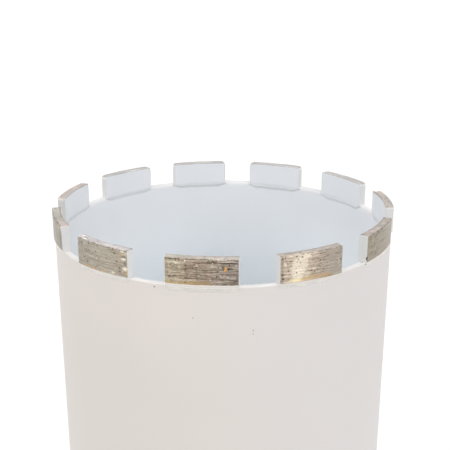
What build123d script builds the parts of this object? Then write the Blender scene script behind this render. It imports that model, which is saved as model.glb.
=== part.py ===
from build123d import *
import os

# Diamond core bit for wet drilling, stood on its spindle hub with the crown up.
# Millimetres. The origin is the centre of the hub's end face and +Z runs along the bit's axis
# towards the crown. The middle of segment_01 faces -Y.

# Crown: pressed segments with two parallel ends, their faces curved about the bit's axis
segment_count = 11
crown_radius = 66.0
segment_length = 24.0
segment_thickness = 3.2
segment_height = 9.8
segment_edge_break = 0.3

# Braze between the rim and a segment, with a fillet in the corner under each overhang
braze_thickness = 0.2
braze_fillet_outside = 0.8
braze_fillet_inside = 0.5
braze_end_setback = 0.15

# Core barrel, a thin steel tube that the segments overhang on both sides
outside_step = 0.6
barrel_wall = 2.3
barrel_length = 354.0

# Back plate, turned with a register that plugs into the barrel
plate_thickness = 6.0
register_depth = 4.0
register_clearance = 0.1

# Weld between the barrel and the back plate, laid in a vee turned into both edges
weld_vee_depth = 1.6
weld_crown = 0.3

# Spindle hub: 1 1/4 inch, 7 threads to the inch, female, modelled at its minor diameter
hub_radius = 22.5
hub_length = 30.0
hub_edge_chamfer = 1.5
hub_spigot_radius = 18.0
hub_spigot_clearance = 0.1
thread_minor_radius = 14.1
thread_mouth_radius = 16.3
water_way_radius = 10.0

# Wrench flats milled across the hub's mouth end
flat_distance = 41.0
flat_length = 16.0

# Fillet weld round the root of the hub
hub_weld_leg = 5.0

# Worked out from the sizes above
barrel_outer_radius = crown_radius - outside_step
barrel_inner_radius = barrel_outer_radius - barrel_wall
segment_inner_radius = crown_radius - segment_thickness
plate_bottom_z = hub_length
barrel_bottom_z = plate_bottom_z + plate_thickness
rim_z = barrel_bottom_z + barrel_length
segment_bottom_z = rim_z + braze_thickness
crown_z = segment_bottom_z + segment_height
segment_pitch = 360.0 / segment_count


def revolved(*outline):
    """Solid of revolution about +Z of a closed outline given as (radius, z) corners."""
    corners = [Vector(radius, 0, z) for radius, z in outline]
    return revolve(make_face(Polyline(*corners, close=True)), Axis.Z)


def between_parallel_ends(ring, length):
    """The stretch of a ring about +Z that faces -Y, cut by two planes square to X."""
    box = ring.bounding_box()
    reach = crown_radius + segment_thickness
    slab = Pos(0, 0, box.min.Z) * Box(
        length, reach, box.size.Z, align=(Align.CENTER, Align.MAX, Align.MIN)
    )
    return (ring & slab).solid()


def make_barrel():
    """Tube with a sharp rim, and half of the weld's vee turned into its lower outer edge."""
    vee_bottom_radius = barrel_outer_radius - weld_vee_depth
    return revolved(
        (barrel_inner_radius, barrel_bottom_z),
        (vee_bottom_radius, barrel_bottom_z),
        (barrel_outer_radius, barrel_bottom_z + weld_vee_depth),
        (barrel_outer_radius, rim_z),
        (barrel_inner_radius, rim_z),
    )


def make_back_plate():
    """Disc as wide as the barrel, with its register, its half of the vee and the hub's hole."""
    vee_bottom_radius = barrel_outer_radius - weld_vee_depth
    register_radius = barrel_inner_radius - register_clearance
    register_z = barrel_bottom_z + register_depth
    hole_radius = hub_spigot_radius + hub_spigot_clearance
    return revolved(
        (hole_radius, plate_bottom_z),
        (barrel_outer_radius, plate_bottom_z),
        (barrel_outer_radius, barrel_bottom_z - weld_vee_depth),
        (vee_bottom_radius, barrel_bottom_z),
        (register_radius, barrel_bottom_z),
        (register_radius, register_z),
        (hole_radius, register_z),
    )


def make_barrel_weld():
    """Ring of weld that fills the vee and stands proud of it with a low crown."""
    return revolved(
        (barrel_outer_radius - weld_vee_depth, barrel_bottom_z),
        (barrel_outer_radius, barrel_bottom_z - weld_vee_depth),
        (barrel_outer_radius + weld_crown, barrel_bottom_z),
        (barrel_outer_radius, barrel_bottom_z + weld_vee_depth),
    )


def make_hub():
    """Turned hub: threaded bore from the mouth, water way through the spigot, two flats."""
    spigot_top_z = barrel_bottom_z + register_depth
    hub = revolved(
        (thread_mouth_radius, 0),
        (hub_radius - hub_edge_chamfer, 0),
        (hub_radius, hub_edge_chamfer),
        (hub_radius, hub_length),
        (hub_spigot_radius, hub_length),
        (hub_spigot_radius, spigot_top_z),
        (water_way_radius, spigot_top_z),
        (water_way_radius, hub_length),
        (thread_minor_radius, hub_length),
        (thread_minor_radius, thread_mouth_radius - thread_minor_radius),
    )
    for side in (-1, 1):
        waste = Pos(side * flat_distance / 2, 0, 0) * Box(
            hub_radius,
            2 * hub_radius,
            flat_length,
            align=(Align.MIN if side > 0 else Align.MAX, Align.CENTER, Align.MIN),
        )
        hub -= waste
    return hub.solid()


def make_hub_weld():
    """Fillet weld in the corner between the hub's side and the plate's outer face."""
    return revolved(
        (hub_radius, plate_bottom_z - hub_weld_leg),
        (hub_radius + hub_weld_leg, plate_bottom_z),
        (hub_radius, plate_bottom_z),
    )


def make_segment():
    """One segment facing -Y, with its edges broken everywhere but where it is brazed down."""
    ring = revolved(
        (segment_inner_radius, segment_bottom_z),
        (crown_radius, segment_bottom_z),
        (crown_radius, crown_z),
        (segment_inner_radius, crown_z),
    )
    blank = between_parallel_ends(ring, segment_length)
    foot_edges = blank.faces().sort_by(Axis.Z)[0].edges()
    broken = [edge for edge in blank.edges() if not any(edge.is_same(kept) for kept in foot_edges)]
    return chamfer(broken, segment_edge_break).solid()


def make_braze_seam():
    """Braze under one segment: a thin layer on the rim and a fillet down each side of the tube."""
    ring = revolved(
        (segment_inner_radius, segment_bottom_z),
        (segment_inner_radius, rim_z),
        (barrel_inner_radius, rim_z - braze_fillet_inside),
        (barrel_inner_radius, rim_z),
        (barrel_outer_radius, rim_z),
        (barrel_outer_radius, rim_z - braze_fillet_outside),
        (crown_radius, rim_z),
        (crown_radius, segment_bottom_z),
    )
    return between_parallel_ends(ring, segment_length - 2 * braze_end_setback)


def place_round_crown(piece, index):
    """A copy of a piece that faces -Y, turned to its place in the ring of segments."""
    return Rot(0, 0, index * segment_pitch) * piece


def make_nodes():
    """Every physical piece of the bit by the name of its node."""
    nodes = {
        "barrel_tube": make_barrel(),
        "back_plate": make_back_plate(),
        "barrel_weld": make_barrel_weld(),
        "threaded_hub": make_hub(),
        "hub_weld": make_hub_weld(),
    }
    segment = make_segment()
    braze_seam = make_braze_seam()
    for index in range(segment_count):
        nodes[f"segment_{index + 1:02d}"] = place_round_crown(segment, index)
        nodes[f"braze_seam_{index + 1:02d}"] = place_round_crown(braze_seam, index)
    return nodes


os.makedirs("parts", exist_ok=True)
for name, solid in make_nodes().items():
    solid.label = name
    export_step(solid, f"parts/{name}.step")
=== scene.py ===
"""Diamond core bit, dressed: the looks of the crown, the barrel and the spindle hub.

Every size is in millimetres and every mesh is turned to metres when it is made. The frame is the
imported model's: the origin is the centre of the hub's end face, +Z runs up to the crown, and the
middle of segment_01 faces -Y.
"""

import logging
import math
from collections.abc import Sequence
from dataclasses import dataclass, field
from enum import Enum

import bmesh
import bpy
import numpy as np
from mathutils import Matrix, Quaternion, Vector


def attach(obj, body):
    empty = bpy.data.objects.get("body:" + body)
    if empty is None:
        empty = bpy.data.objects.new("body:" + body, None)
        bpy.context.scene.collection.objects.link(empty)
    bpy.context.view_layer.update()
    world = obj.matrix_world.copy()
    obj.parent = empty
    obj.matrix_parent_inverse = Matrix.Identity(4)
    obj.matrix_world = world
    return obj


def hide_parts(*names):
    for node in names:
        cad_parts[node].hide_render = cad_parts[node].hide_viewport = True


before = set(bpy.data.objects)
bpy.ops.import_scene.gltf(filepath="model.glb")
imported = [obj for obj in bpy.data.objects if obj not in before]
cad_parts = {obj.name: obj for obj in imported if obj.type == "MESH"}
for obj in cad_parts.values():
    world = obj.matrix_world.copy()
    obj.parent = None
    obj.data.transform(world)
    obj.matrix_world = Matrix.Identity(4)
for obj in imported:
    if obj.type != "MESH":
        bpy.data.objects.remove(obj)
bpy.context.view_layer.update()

LOG = logging.getLogger("core_bit")
MM = 0.001
MERGE_GAP = 2e-6
LAYER_KIND = {1: ("FLOAT", "value"), 3: ("FLOAT_VECTOR", "vector"), 4: ("FLOAT_COLOR", "color")}
BLACK, WHITE = (0.0, 0.0, 0.0), (1.0, 1.0, 1.0)

Colour = tuple[float, float, float]
Array = np.ndarray
Socket = bpy.types.NodeSocket
Material = bpy.types.Material
Specks = Sequence[tuple[Array, float]]
Inputs = dict[str | int, object]


def srgb(red: float, green: float, blue: float) -> Colour:
    """Turns a colour on the 0 to 255 screen scale into the linear values that nodes take.

    Args:
        red: screen value of red.
        green: screen value of green.
        blue: screen value of blue.

    Returns:
        The three linear values.
    """
    screen = np.array([red, green, blue]) / 255.0
    linear = np.where(screen <= 0.04045, screen / 12.92, ((screen + 0.055) / 1.055) ** 2.4)
    return tuple(float(value) for value in linear)


def smooth(low: float, high: float, value: Array) -> Array:
    """Smooth step: 0 below low, 1 above high, and three x squared less two x cubed between.

    Args:
        low: value at which the step starts.
        high: value at which the step ends.
        value: the values to pass through the step.

    Returns:
        The stepped values, from 0 to 1.
    """
    x = np.clip((value - low) / (high - low), 0.0, 1.0)
    return x * x * (3.0 - 2.0 * x)


def blend(first: Sequence[float], second: Sequence[float], share: Array) -> Array:
    """Mixes two rows of values at each point: the first at share 0 and the second at share 1."""
    return np.array(first) * (1.0 - share[..., None]) + np.array(second) * share[..., None]


def with_share(colour: Array, share: Array) -> Array:
    """Four values a point: a colour, which may be one for all points, and its share."""
    return np.concatenate([colour + np.zeros(share.shape + (3,)), share[..., None]], axis=-1)


def towards(plan: float, up: float) -> Vector:
    """The direction at a plan angle from +X and an elevation, both in degrees."""
    a, e = math.radians(plan), math.radians(up)
    return Vector((math.cos(a) * math.cos(e), math.sin(a) * math.cos(e), math.sin(e)))


def round_angles(columns: int) -> Array:
    """The angles of the columns of a turned mesh."""
    return np.linspace(0.0, 2.0 * np.pi, columns, endpoint=False)


def linked(name: str, data: bpy.types.ID) -> bpy.types.Object:
    """Makes an object of a mesh, a lamp or a camera and puts it in the scene."""
    item = bpy.data.objects.new(name, data)
    bpy.context.scene.collection.objects.link(item)
    return item


class Slot(Enum):
    """The material slots that the pieces hold."""

    BARREL = "barrel_paint"
    PLATE = "plate_paint"
    WELD = "weld_paint"
    HUB = "hub_steel"
    SEGMENT = "diamond_segment"
    BRAZE = "silver_braze"


@dataclass(frozen=True)
class Ripple:
    """Repeatable soft noise: a sum of cosines with seeded directions and phases."""

    seed: int
    wavelength: tuple[float, ...]
    waves: int = 40

    def __call__(self, *axes: Array) -> Array:
        """Sums cos(k . p + phase) over the waves and scales the sum to a spread of 1.

        Args:
            axes: one array of coordinates for each wavelength, all of one shape.

        Returns:
            The noise at each point, with mean 0 and standard deviation about 1.
        """
        draw = np.random.default_rng(self.seed)
        count = len(self.wavelength)
        turn = 2.0 * np.pi / np.array(self.wavelength)
        wave = draw.normal(0.0, 0.7, (self.waves, count)) * turn
        phase = draw.uniform(0.0, 2.0 * np.pi, self.waves)
        points = np.stack([np.asarray(axis, float) for axis in axes], axis=-1)
        total = np.cos(points @ wave.T + phase).sum(axis=-1)
        return total * math.sqrt(2.0 / self.waves)

    def on_circle(self, radius: float, angle: Array) -> Array:
        """The noise at the points of a circle about the axis."""
        return self(radius * np.cos(angle), radius * np.sin(angle))


# Meshes


@dataclass
class Patch:
    """One grid of points, rows by columns, with values carried at its points."""

    points: Array
    around: bool = True
    along: bool = False
    layers: dict[str, Array] = field(default_factory=dict)

    def quads(self, first: int) -> Array:
        """Corner numbers of the grid's four-sided faces.

        Args:
            first: number of the grid's first point in the whole mesh.

        Returns:
            An array of four point numbers a face.
        """
        rows, columns = self.points.shape[:2]
        number = first + np.arange(rows * columns).reshape(rows, columns)
        if self.around:
            number = np.concatenate([number, number[:, :1]], axis=1)
        if self.along:
            number = np.concatenate([number, number[:1]], axis=0)
        corners = (number[:-1, :-1], number[:-1, 1:], number[1:, 1:], number[1:, :-1])
        return np.stack([corner.ravel() for corner in corners], axis=1)

    def flat(self, name: str) -> Array:
        """A layer as one row of values a point."""
        return self.layers[name].reshape(self.points[..., 0].size, -1)


def mesh_of(name: str, patches: Sequence[Patch], closed: bool = True) -> bpy.types.Mesh:
    """Puts patches into one mesh, in metres, and merges the points that meet.

    Args:
        name: the mesh's name.
        patches: the grids, which all carry the layers of the first.
        closed: whether the mesh has an inside, so that its faces are turned outwards.

    Returns:
        The mesh.
    """
    mesh = bpy.data.meshes.new(name)
    points = np.concatenate([patch.points.reshape(-1, 3) for patch in patches]) * MM
    starts = np.cumsum([0] + [patch.points[..., 0].size for patch in patches])
    quads = np.concatenate([patch.quads(int(start)) for patch, start in zip(patches, starts)])
    mesh.from_pydata(points.tolist(), [], quads.tolist())
    for layer_name in patches[0].layers:
        values = np.concatenate([patch.flat(layer_name) for patch in patches])
        kind, channel = LAYER_KIND[values.shape[1]]
        layer = mesh.attributes.new(layer_name, kind, "POINT")
        layer.data.foreach_set(channel, values.astype(np.float32).ravel())
    work = bmesh.new()
    work.from_mesh(mesh)
    bmesh.ops.remove_doubles(work, verts=work.verts, dist=MERGE_GAP)
    if closed:
        bmesh.ops.recalc_face_normals(work, faces=work.faces)
    work.to_mesh(mesh)
    work.free()
    return mesh


@dataclass
class Piece:
    """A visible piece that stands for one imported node."""

    node: str
    slot: Slot
    patches: list[Patch]

    def make(self, material: Material) -> None:
        """Makes the piece at the origin, riding on the root body, and hides the imported node that it stands
        for.

        Args:
            material: its finish.
        """
        mesh = mesh_of(self.node + ".look", self.patches)
        mesh.shade_smooth()
        mesh.materials.append(material)
        piece = linked(mesh.name, mesh)
        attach(piece, "root")
        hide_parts(self.node)
        LOG.info("%s: %d faces", piece.name, len(mesh.polygons))


ARC_POINTS = 7
SHORT_SIDE = 0.2
GUARD = 0.3


def rounded_loop(corners: Sequence[tuple[float, float, float]], spacing: float) -> Array:
    """Closed outline whose corners are swapped for arcs that touch both sides of the corner.

    An arc's centre lies on the corner's bisector at radius / sin(half angle). Along each side, points
    lie at the spacing, with one close to either end, so that smooth shading stays flat there.

    Args:
        corners: (radius from the axis, z, arc radius) of each corner in order.
        spacing: largest distance between points on the straight sides.

    Returns:
        An array of (radius from the axis, z) rows.
    """
    place = np.array([corner[:2] for corner in corners], float)
    radii = [corner[2] for corner in corners]
    arcs = []
    for number, (corner, radius) in enumerate(zip(place, radii)):
        before = place[number - 1] - corner
        after = place[(number + 1) % len(place)] - corner
        before /= np.linalg.norm(before)
        after /= np.linalg.norm(after)
        half = math.acos(float(np.clip(before @ after, -1.0, 1.0))) / 2.0
        if radius <= 0.0:
            arcs.append(corner[None, :])
            continue
        reach = radius / math.tan(half)
        middle = before + after
        centre = corner + middle / np.linalg.norm(middle) * radius / math.sin(half)
        start = np.arctan2(*(corner + before * reach - centre)[::-1])
        sweep = np.arctan2(*(corner + after * reach - centre)[::-1]) - start
        sweep = (sweep + np.pi) % (2.0 * np.pi) - np.pi
        angle = start + sweep * np.linspace(0.0, 1.0, ARC_POINTS)
        arcs.append(centre + radius * np.stack([np.cos(angle), np.sin(angle)], axis=1))
    parts = []
    for number, arc in enumerate(arcs):
        parts.append(arc)
        start, end = arc[-1], arcs[(number + 1) % len(arcs)][0]
        length = float(np.linalg.norm(end - start))
        if length < SHORT_SIDE:
            continue
        guard = min(GUARD, length / 4.0)
        steps = max(2, int(math.ceil((length - 2.0 * guard) / spacing)) + 1)
        along = np.linspace(guard, length - guard, steps) / length
        parts.append(start + (end - start) * along[:, None])
    return np.concatenate(parts)


def lathe(outline: Array, columns: int) -> Patch:
    """Turns a closed outline about the axis: x = r cos(angle), y = r sin(angle), z as given.

    Args:
        outline: (radius, z) rows, or (rows, columns, 2) where the outline changes round the axis.
        columns: number of steps round the axis.

    Returns:
        The closed patch.
    """
    angle = round_angles(columns)
    if outline.ndim == 2:
        outline = np.repeat(outline[:, None, :], columns, axis=1)
    radius, height = outline[..., 0], outline[..., 1]
    points = np.stack([radius * np.cos(angle), radius * np.sin(angle), height], axis=-1)
    return Patch(points, around=True, along=True)


def leaning_coins(ripples: int, fine: int, ahead: Array) -> tuple[Array, Array]:
    """A weld's ripples: a saw-tooth round the axis, which each row meets a little earlier or later.

    Args:
        ripples: number of teeth.
        fine: columns a tooth.
        ahead: the part of a tooth by which each row is ahead.

    Returns:
        The columns' angles, and the saw's height from 0 to 1 at each point.
    """
    angle = round_angles(ripples * fine)
    return angle, (angle[None, :] * ripples / (2.0 * np.pi) + ahead) % 1.0


def bead(root: tuple[float, float], radius: Array, height: Array) -> Patch:
    """The ring between a weld's root line, given by radius and z, and its face."""
    face = np.stack(np.broadcast_arrays(radius, height), axis=-1)
    line = np.zeros((1, face.shape[1], 2)) + np.array(root)
    return lathe(np.concatenate([line, face]), face.shape[1])


# Shader nodes


@dataclass(frozen=True)
class Signal:
    """A number from a node's output. Operators on it add Math nodes."""

    bench: "Bench"
    socket: Socket

    def math(self, operation: str, *others: "Signal | float", swap: bool = False) -> "Signal":
        """Adds one Math node.

        Args:
            operation: Blender's name of the operation.
            others: the other operands.
            swap: whether this value is the second operand.

        Returns:
            The node's value.
        """
        operands = [self, *others]
        if swap:
            operands.reverse()
        node = self.bench.add("ShaderNodeMath", {"operation": operation}, dict(enumerate(operands)))
        return Signal(self.bench, node.outputs[0])

    def __add__(self, other: "Signal | float") -> "Signal":
        """This value plus the other."""
        return self.math("ADD", other)

    __radd__ = __add__

    def __sub__(self, other: "Signal | float") -> "Signal":
        """This value less the other."""
        return self.math("SUBTRACT", other)

    def __rsub__(self, other: float) -> "Signal":
        """The other value less this one."""
        return self.math("SUBTRACT", other, swap=True)

    def __mul__(self, other: "Signal | float") -> "Signal":
        """This value times the other."""
        return self.math("MULTIPLY", other)

    __rmul__ = __mul__

    def root(self) -> "Signal":
        """Square root."""
        return self.math("SQRT")

    def above(self, other: "Signal | float") -> "Signal":
        """The larger of the two values."""
        return self.math("MAXIMUM", other)

    def step(self, low: float, high: float) -> "Signal":
        """Smooth step from 0 at low to 1 at high.

        Args:
            low: value at which the step starts.
            high: value at which the step ends; below low the step runs down.

        Returns:
            The stepped value.
        """
        kind = {"interpolation_type": "SMOOTHSTEP"}
        ends = {1: low, 2: high} if low < high else {1: high, 2: low, 3: 1.0, 4: 0.0}
        node = self.bench.add("ShaderNodeMapRange", kind, {0: self, **ends})
        return Signal(self.bench, node.outputs[0])


class Bench:
    """The nodes of one material, or of the world."""

    def __init__(self, owner: Material | bpy.types.World) -> None:
        """Empties the owner's nodes."""
        self.owner = owner
        owner.use_nodes = True
        self.tree = owner.node_tree
        self.tree.nodes.clear()

    def add(
        self,
        kind: str,
        settings: dict[str, object] | None = None,
        inputs: Inputs | None = None,
    ) -> bpy.types.Node:
        """Adds a node, sets its settings and then fills or links its sockets.

        Args:
            kind: the node's type.
            settings: the node's own properties; stops gives a ramp's (place, colour) pairs.
            inputs: a value, a Signal or an output for each socket name or number.

        Returns:
            The node.
        """
        node = self.tree.nodes.new(kind)
        for name, value in (settings or {}).items():
            if name == "stops":
                self._set_stops(node.color_ramp, value)
            else:
                setattr(node, name, value)
        for key, value in (inputs or {}).items():
            target = node.inputs[key]
            if isinstance(value, Signal):
                value = value.socket
            if isinstance(value, Socket):
                self.tree.links.new(value, target)
            elif isinstance(value, tuple) and len(value) == 3 and len(target.default_value) == 4:
                target.default_value = (*value, 1.0)
            else:
                target.default_value = value
        return node

    @staticmethod
    def _set_stops(ramp: bpy.types.ColorRamp, stops: Sequence[tuple[float, Colour]]) -> None:
        """Gives a ramp its stops."""
        while len(ramp.elements) < len(stops):
            ramp.elements.new(1.0)
        for element, (place, colour) in zip(ramp.elements, stops):
            element.position = place
            element.color = (*colour, 1.0)

    def attribute(self, name: str) -> bpy.types.Node:
        """The node that reads one of the piece's own attributes."""
        return self.add("ShaderNodeAttribute", {"attribute_name": name})

    def share(self, name: str) -> Signal:
        """The number that one of the piece's own attributes holds."""
        return Signal(self, self.attribute(name).outputs["Fac"])

    def tinted(self, colour: Socket, name: str) -> Socket:
        """A colour with a tint attribute laid over it, by the share in the tint's alpha."""
        tint = self.attribute(name)
        return self.mix(Signal(self, tint.outputs["Alpha"]), colour, tint.outputs["Color"])

    def seen(self) -> Signal:
        """1 for camera, glossy and transmission rays, and 0 for others."""
        rays = self.add("ShaderNodeLightPath").outputs
        camera, glossy = Signal(self, rays["Is Camera Ray"]), Signal(self, rays["Is Glossy Ray"])
        return camera.above(glossy).above(Signal(self, rays["Is Transmission Ray"]))

    def object_mm(self) -> Socket:
        """Object coordinates in millimetres."""
        place = self.add("ShaderNodeTexCoord").outputs["Object"]
        return self.scaled(place, (1.0 / MM,) * 3)

    def scaled(self, vector: Socket, factors: Colour) -> Socket:
        """A vector times a factor for each axis."""
        return self.add("ShaderNodeVectorMath", {"operation": "MULTIPLY"}, {0: vector, 1: factors}).outputs[0]

    def split(self, vector: Socket) -> tuple[Signal, Signal, Signal]:
        """The three parts of a vector."""
        node = self.add("ShaderNodeSeparateXYZ", None, {0: vector})
        return tuple(Signal(self, output) for output in node.outputs)

    def radius(self, place: Socket) -> Signal:
        """Distance from the axis."""
        x, y, _ = self.split(place)
        return (x * x + y * y).root()

    def join(self, x: Signal | float, y: Signal | float, z: Signal | float) -> Socket:
        """A vector from three values."""
        return self.add("ShaderNodeCombineXYZ", None, {0: x, 1: y, 2: z}).outputs[0]

    def noise(
        self,
        vector: Socket,
        scale: float,
        detail: float = 4.0,
        roughness: float = 0.55,
        distortion: float = 0.0,
    ) -> Signal:
        """Noise about 0.5.

        Args:
            vector: where to read the noise.
            scale: how many noise cells lie in one unit of the vector.
            detail: number of finer layers.
            roughness: weight of the finer layers.
            distortion: how far the pattern is bent.

        Returns:
            The noise's value.
        """
        values = {"Scale": scale, "Detail": detail, "Roughness": roughness, "Distortion": distortion}
        return Signal(self, self.add("ShaderNodeTexNoise", None, {0: vector, **values}).outputs["Fac"])

    def rings(self, place: Socket, across: Signal, scale: float, detail: float, roughness: float) -> Signal:
        """Turning lines: noise by the distance from the axis, the height and a little of another value.

        Args:
            place: object coordinates in millimetres.
            across: the other value, which breaks the rings up.
            scale: how many noise cells lie in a millimetre.
            detail: number of finer layers.
            roughness: weight of the finer layers.

        Returns:
            The noise's value.
        """
        turned = self.join(self.radius(place), across, self.split(place)[2])
        return self.noise(turned, scale, detail, roughness)

    def cells(self, vector: Socket, scale: float) -> tuple[Signal, Signal]:
        """Scattered points.

        Args:
            vector: where to read the pattern.
            scale: how many points lie in one unit of the vector.

        Returns:
            The distance to the nearest point in cells, and a value from 0 to 1 that belongs to that point.
        """
        node = self.add("ShaderNodeTexVoronoi", None, {0: vector, "Scale": scale})
        chance = self.split(node.outputs["Color"])[0]
        return Signal(self, node.outputs["Distance"]), chance

    def mix(
        self, factor: Signal | float, first: object, second: object, blend: str = "MIX"
    ) -> Socket:
        """Mixes two colours.

        Args:
            factor: share of the second colour.
            first: colour at factor 0.
            second: colour at factor 1.
            blend: Blender's name of the kind of mix.

        Returns:
            The mixed colour.
        """
        settings = {"data_type": "RGBA", "blend_type": blend, "clamp_factor": True}
        node = self.add("ShaderNodeMix", settings, {0: factor, 6: first, 7: second})
        return node.outputs[2]

    def blend_values(self, factor: Signal, first: Signal | float, second: Signal | float) -> Signal:
        """Mixes two numbers: first at factor 0, second at factor 1."""
        node = self.add("ShaderNodeMix", {"data_type": "FLOAT"}, {0: factor, 2: first, 3: second})
        return Signal(self, node.outputs[0])

    def ramp(self, value: Signal, stops: Sequence[tuple[float, Colour]]) -> Socket:
        """A colour for each value."""
        return self.add("ShaderNodeValToRGB", {"stops": stops}, {0: value}).outputs[0]

    def bump(self, height: Signal, depth_mm: float, under: object = None) -> Socket:
        """Tilts the shading by a height pattern.

        Args:
            height: the pattern, from 0 to 1.
            depth_mm: how deep the pattern is.
            under: normal of a coarser bump below this one.

        Returns:
            The tilted normal.
        """
        inputs = {"Height": height, "Distance": depth_mm * MM, "Strength": 1.0}
        if under is not None:
            inputs["Normal"] = under
        return self.add("ShaderNodeBump", None, inputs).outputs[0]

    def finish(self, inputs: Inputs) -> Material:
        """Ends the material in one principled shader.

        Args:
            inputs: values and links of the shader's sockets.

        Returns:
            The material.
        """
        shader = self.add("ShaderNodeBsdfPrincipled", None, inputs)
        self.add("ShaderNodeOutputMaterial", None, {"Surface": shader.outputs[0]})
        return self.owner


# Finishes


class Finish:
    """A look that becomes a material."""

    def inputs(self, bench: Bench, place: Socket) -> Inputs:
        """Adds the look's nodes.

        Args:
            bench: the material's nodes.
            place: object coordinates in millimetres.

        Returns:
            Values and links of the principled shader's sockets.
        """
        raise NotImplementedError

    def material(self, name: str) -> Material:
        """Makes the material of that name."""
        bench = Bench(bpy.data.materials.new(name))
        return bench.finish(self.inputs(bench, bench.object_mm()))


@dataclass(frozen=True)
class SprayPaint(Finish):
    """Thin satin white with a fine orange peel. Its colours hold painted light and shade: cooler and lighter
    inside the tube than outside, darker low on the outside and cooler on the right side.

    The specks are places and radii in millimetres of the grit seen in it.
    """

    specks: Specks
    outside: Colour = srgb(232, 225, 221)
    # painted light: a cooler tint towards the barrel's right side
    outside_right_light_tint: Colour = srgb(230, 226, 226)
    # painted light: the inside's copy is cooler and lighter, lighter still deep in the tube and less so to
    # the left, against the cavity's shade
    inside: Colour = srgb(237, 239, 243)
    inside_low_lit: Colour = srgb(246, 251, 255)
    inside_low_left_lit: Colour = srgb(241, 246, 250)
    # painted light: the end faces' copy lies between the inside's and the outside's
    ends: Colour = srgb(231, 231, 232)
    # painted shade: the rim's top, its inner rounding and its back take their own colours, mostly darker,
    # against the light they catch from above
    rim: Colour = srgb(230, 228, 226)
    rim_inside_shade: Colour = srgb(229, 229, 231)
    rim_back_shade: Colour = srgb(212, 211, 212)
    shade: Colour = srgb(214, 210, 204)
    # painted shade: the outside darkens towards this colour from low_from down to low_to
    low: Colour = srgb(228, 222, 217)
    low_from: float = 386.0
    low_to: float = 345.0
    drift: Colour = srgb(214, 226, 218)
    speck: Colour = srgb(120, 118, 116)
    inside_radius: float = 63.2
    outside_radius: float = 65.2
    roughness: float = 0.5
    peel: float = 0.006

    def colour(
        self, bench: Bench, place: Socket, side: Signal | None = None
    ) -> Socket:
        """Paint colour, softly clouded: the inside's, the ends' or the outside's copy of one paint, which
        differ as painted light and shade.

        Args:
            bench: the material's nodes.
            place: object coordinates in millimetres.
            side: 0 inside, 0.5 on an end face and 1 outside. Without it the distance from the axis tells
                inside from outside.

        Returns:
            The colour.
        """
        if side is None:
            x, _, z = bench.split(place)
            outer = bench.radius(place).step(self.inside_radius, self.outside_radius)
            # painted light deep inside the tube and painted shade low on the outside
            deep = z.step(self.low_from, self.low_to)
            low = bench.mix(x.step(-35.0, 5.0), self.inside_low_left_lit, self.inside_low_lit)
            inside = bench.mix(deep, self.inside, low)
            outside = bench.mix(deep, self.outside, self.low)
            # painted light: a cooler tint towards the right side
            outside = bench.mix(x.step(-10.0, 50.0), outside, self.outside_right_light_tint)
            paint = bench.mix(outer, inside, outside)
        else:
            # painted light: one paint in lit and shaded copies for inner, end and outer faces
            paint = bench.mix(side.step(0.0, 0.5), self.inside, self.ends)
            paint = bench.mix(side.step(0.5, 1.0), paint, self.outside)
        cloud = bench.noise(place, 0.045, 3.0, 0.5).step(0.3, 0.7)
        clouded = bench.mix(cloud * 0.05, paint, self.shade)
        drift = bench.noise(place, 0.07, 1.0, 0.4).step(0.4, 0.62)
        return bench.mix(drift * 0.035, clouded, self.drift)

    def peel_bump(self, bench: Bench, place: Socket) -> Socket:
        """The orange peel's normal."""
        return bench.bump(bench.noise(place, 0.9, 2.0, 0.5), self.peel)

    def specked(self, bench: Bench, place: Socket, colour: Socket) -> Socket:
        """Adds the grit: a soft dot round each speck.

        Args:
            bench: the material's nodes.
            place: object coordinates in millimetres.
            colour: the paint's colour.

        Returns:
            The colour with the dots.
        """
        for centre, radius in self.specks:
            centre = tuple(float(value) for value in centre)
            gap = bench.add("ShaderNodeVectorMath", {"operation": "DISTANCE"}, {0: place, 1: centre})
            dot = Signal(bench, gap.outputs["Value"]).step(radius, radius * 0.5)
            colour = bench.mix(dot * 0.75, colour, self.speck)
        return colour

    def inputs(self, bench: Bench, place: Socket) -> Inputs:
        """White, with painted shade on the rim, fine random dots and the grit seen in the photograph.

        Args:
            bench: the material's nodes.
            place: object coordinates in millimetres.

        Returns:
            Values and links of the shader's sockets.
        """
        colour = self.colour(bench, place)
        # painted shade on the rim's top, its inner rounding and its back
        for part in ("rim_inside_shade", "rim", "rim_back_shade"):
            colour = bench.mix(bench.share(part), colour, getattr(self, part))
        distance, chance = bench.cells(place, 0.11)
        fine = distance.step(0.05, 0.02) * chance.step(0.9, 0.92)
        colour = bench.mix(fine * 0.5, colour, self.speck)
        colour = self.specked(bench, place, colour)
        return {
            "Base Color": colour,
            "Roughness": bench.noise(place, 0.2, 2.0) * 0.14 + (self.roughness - 0.07),
            "Normal": self.peel_bump(bench, place),
        }


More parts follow.
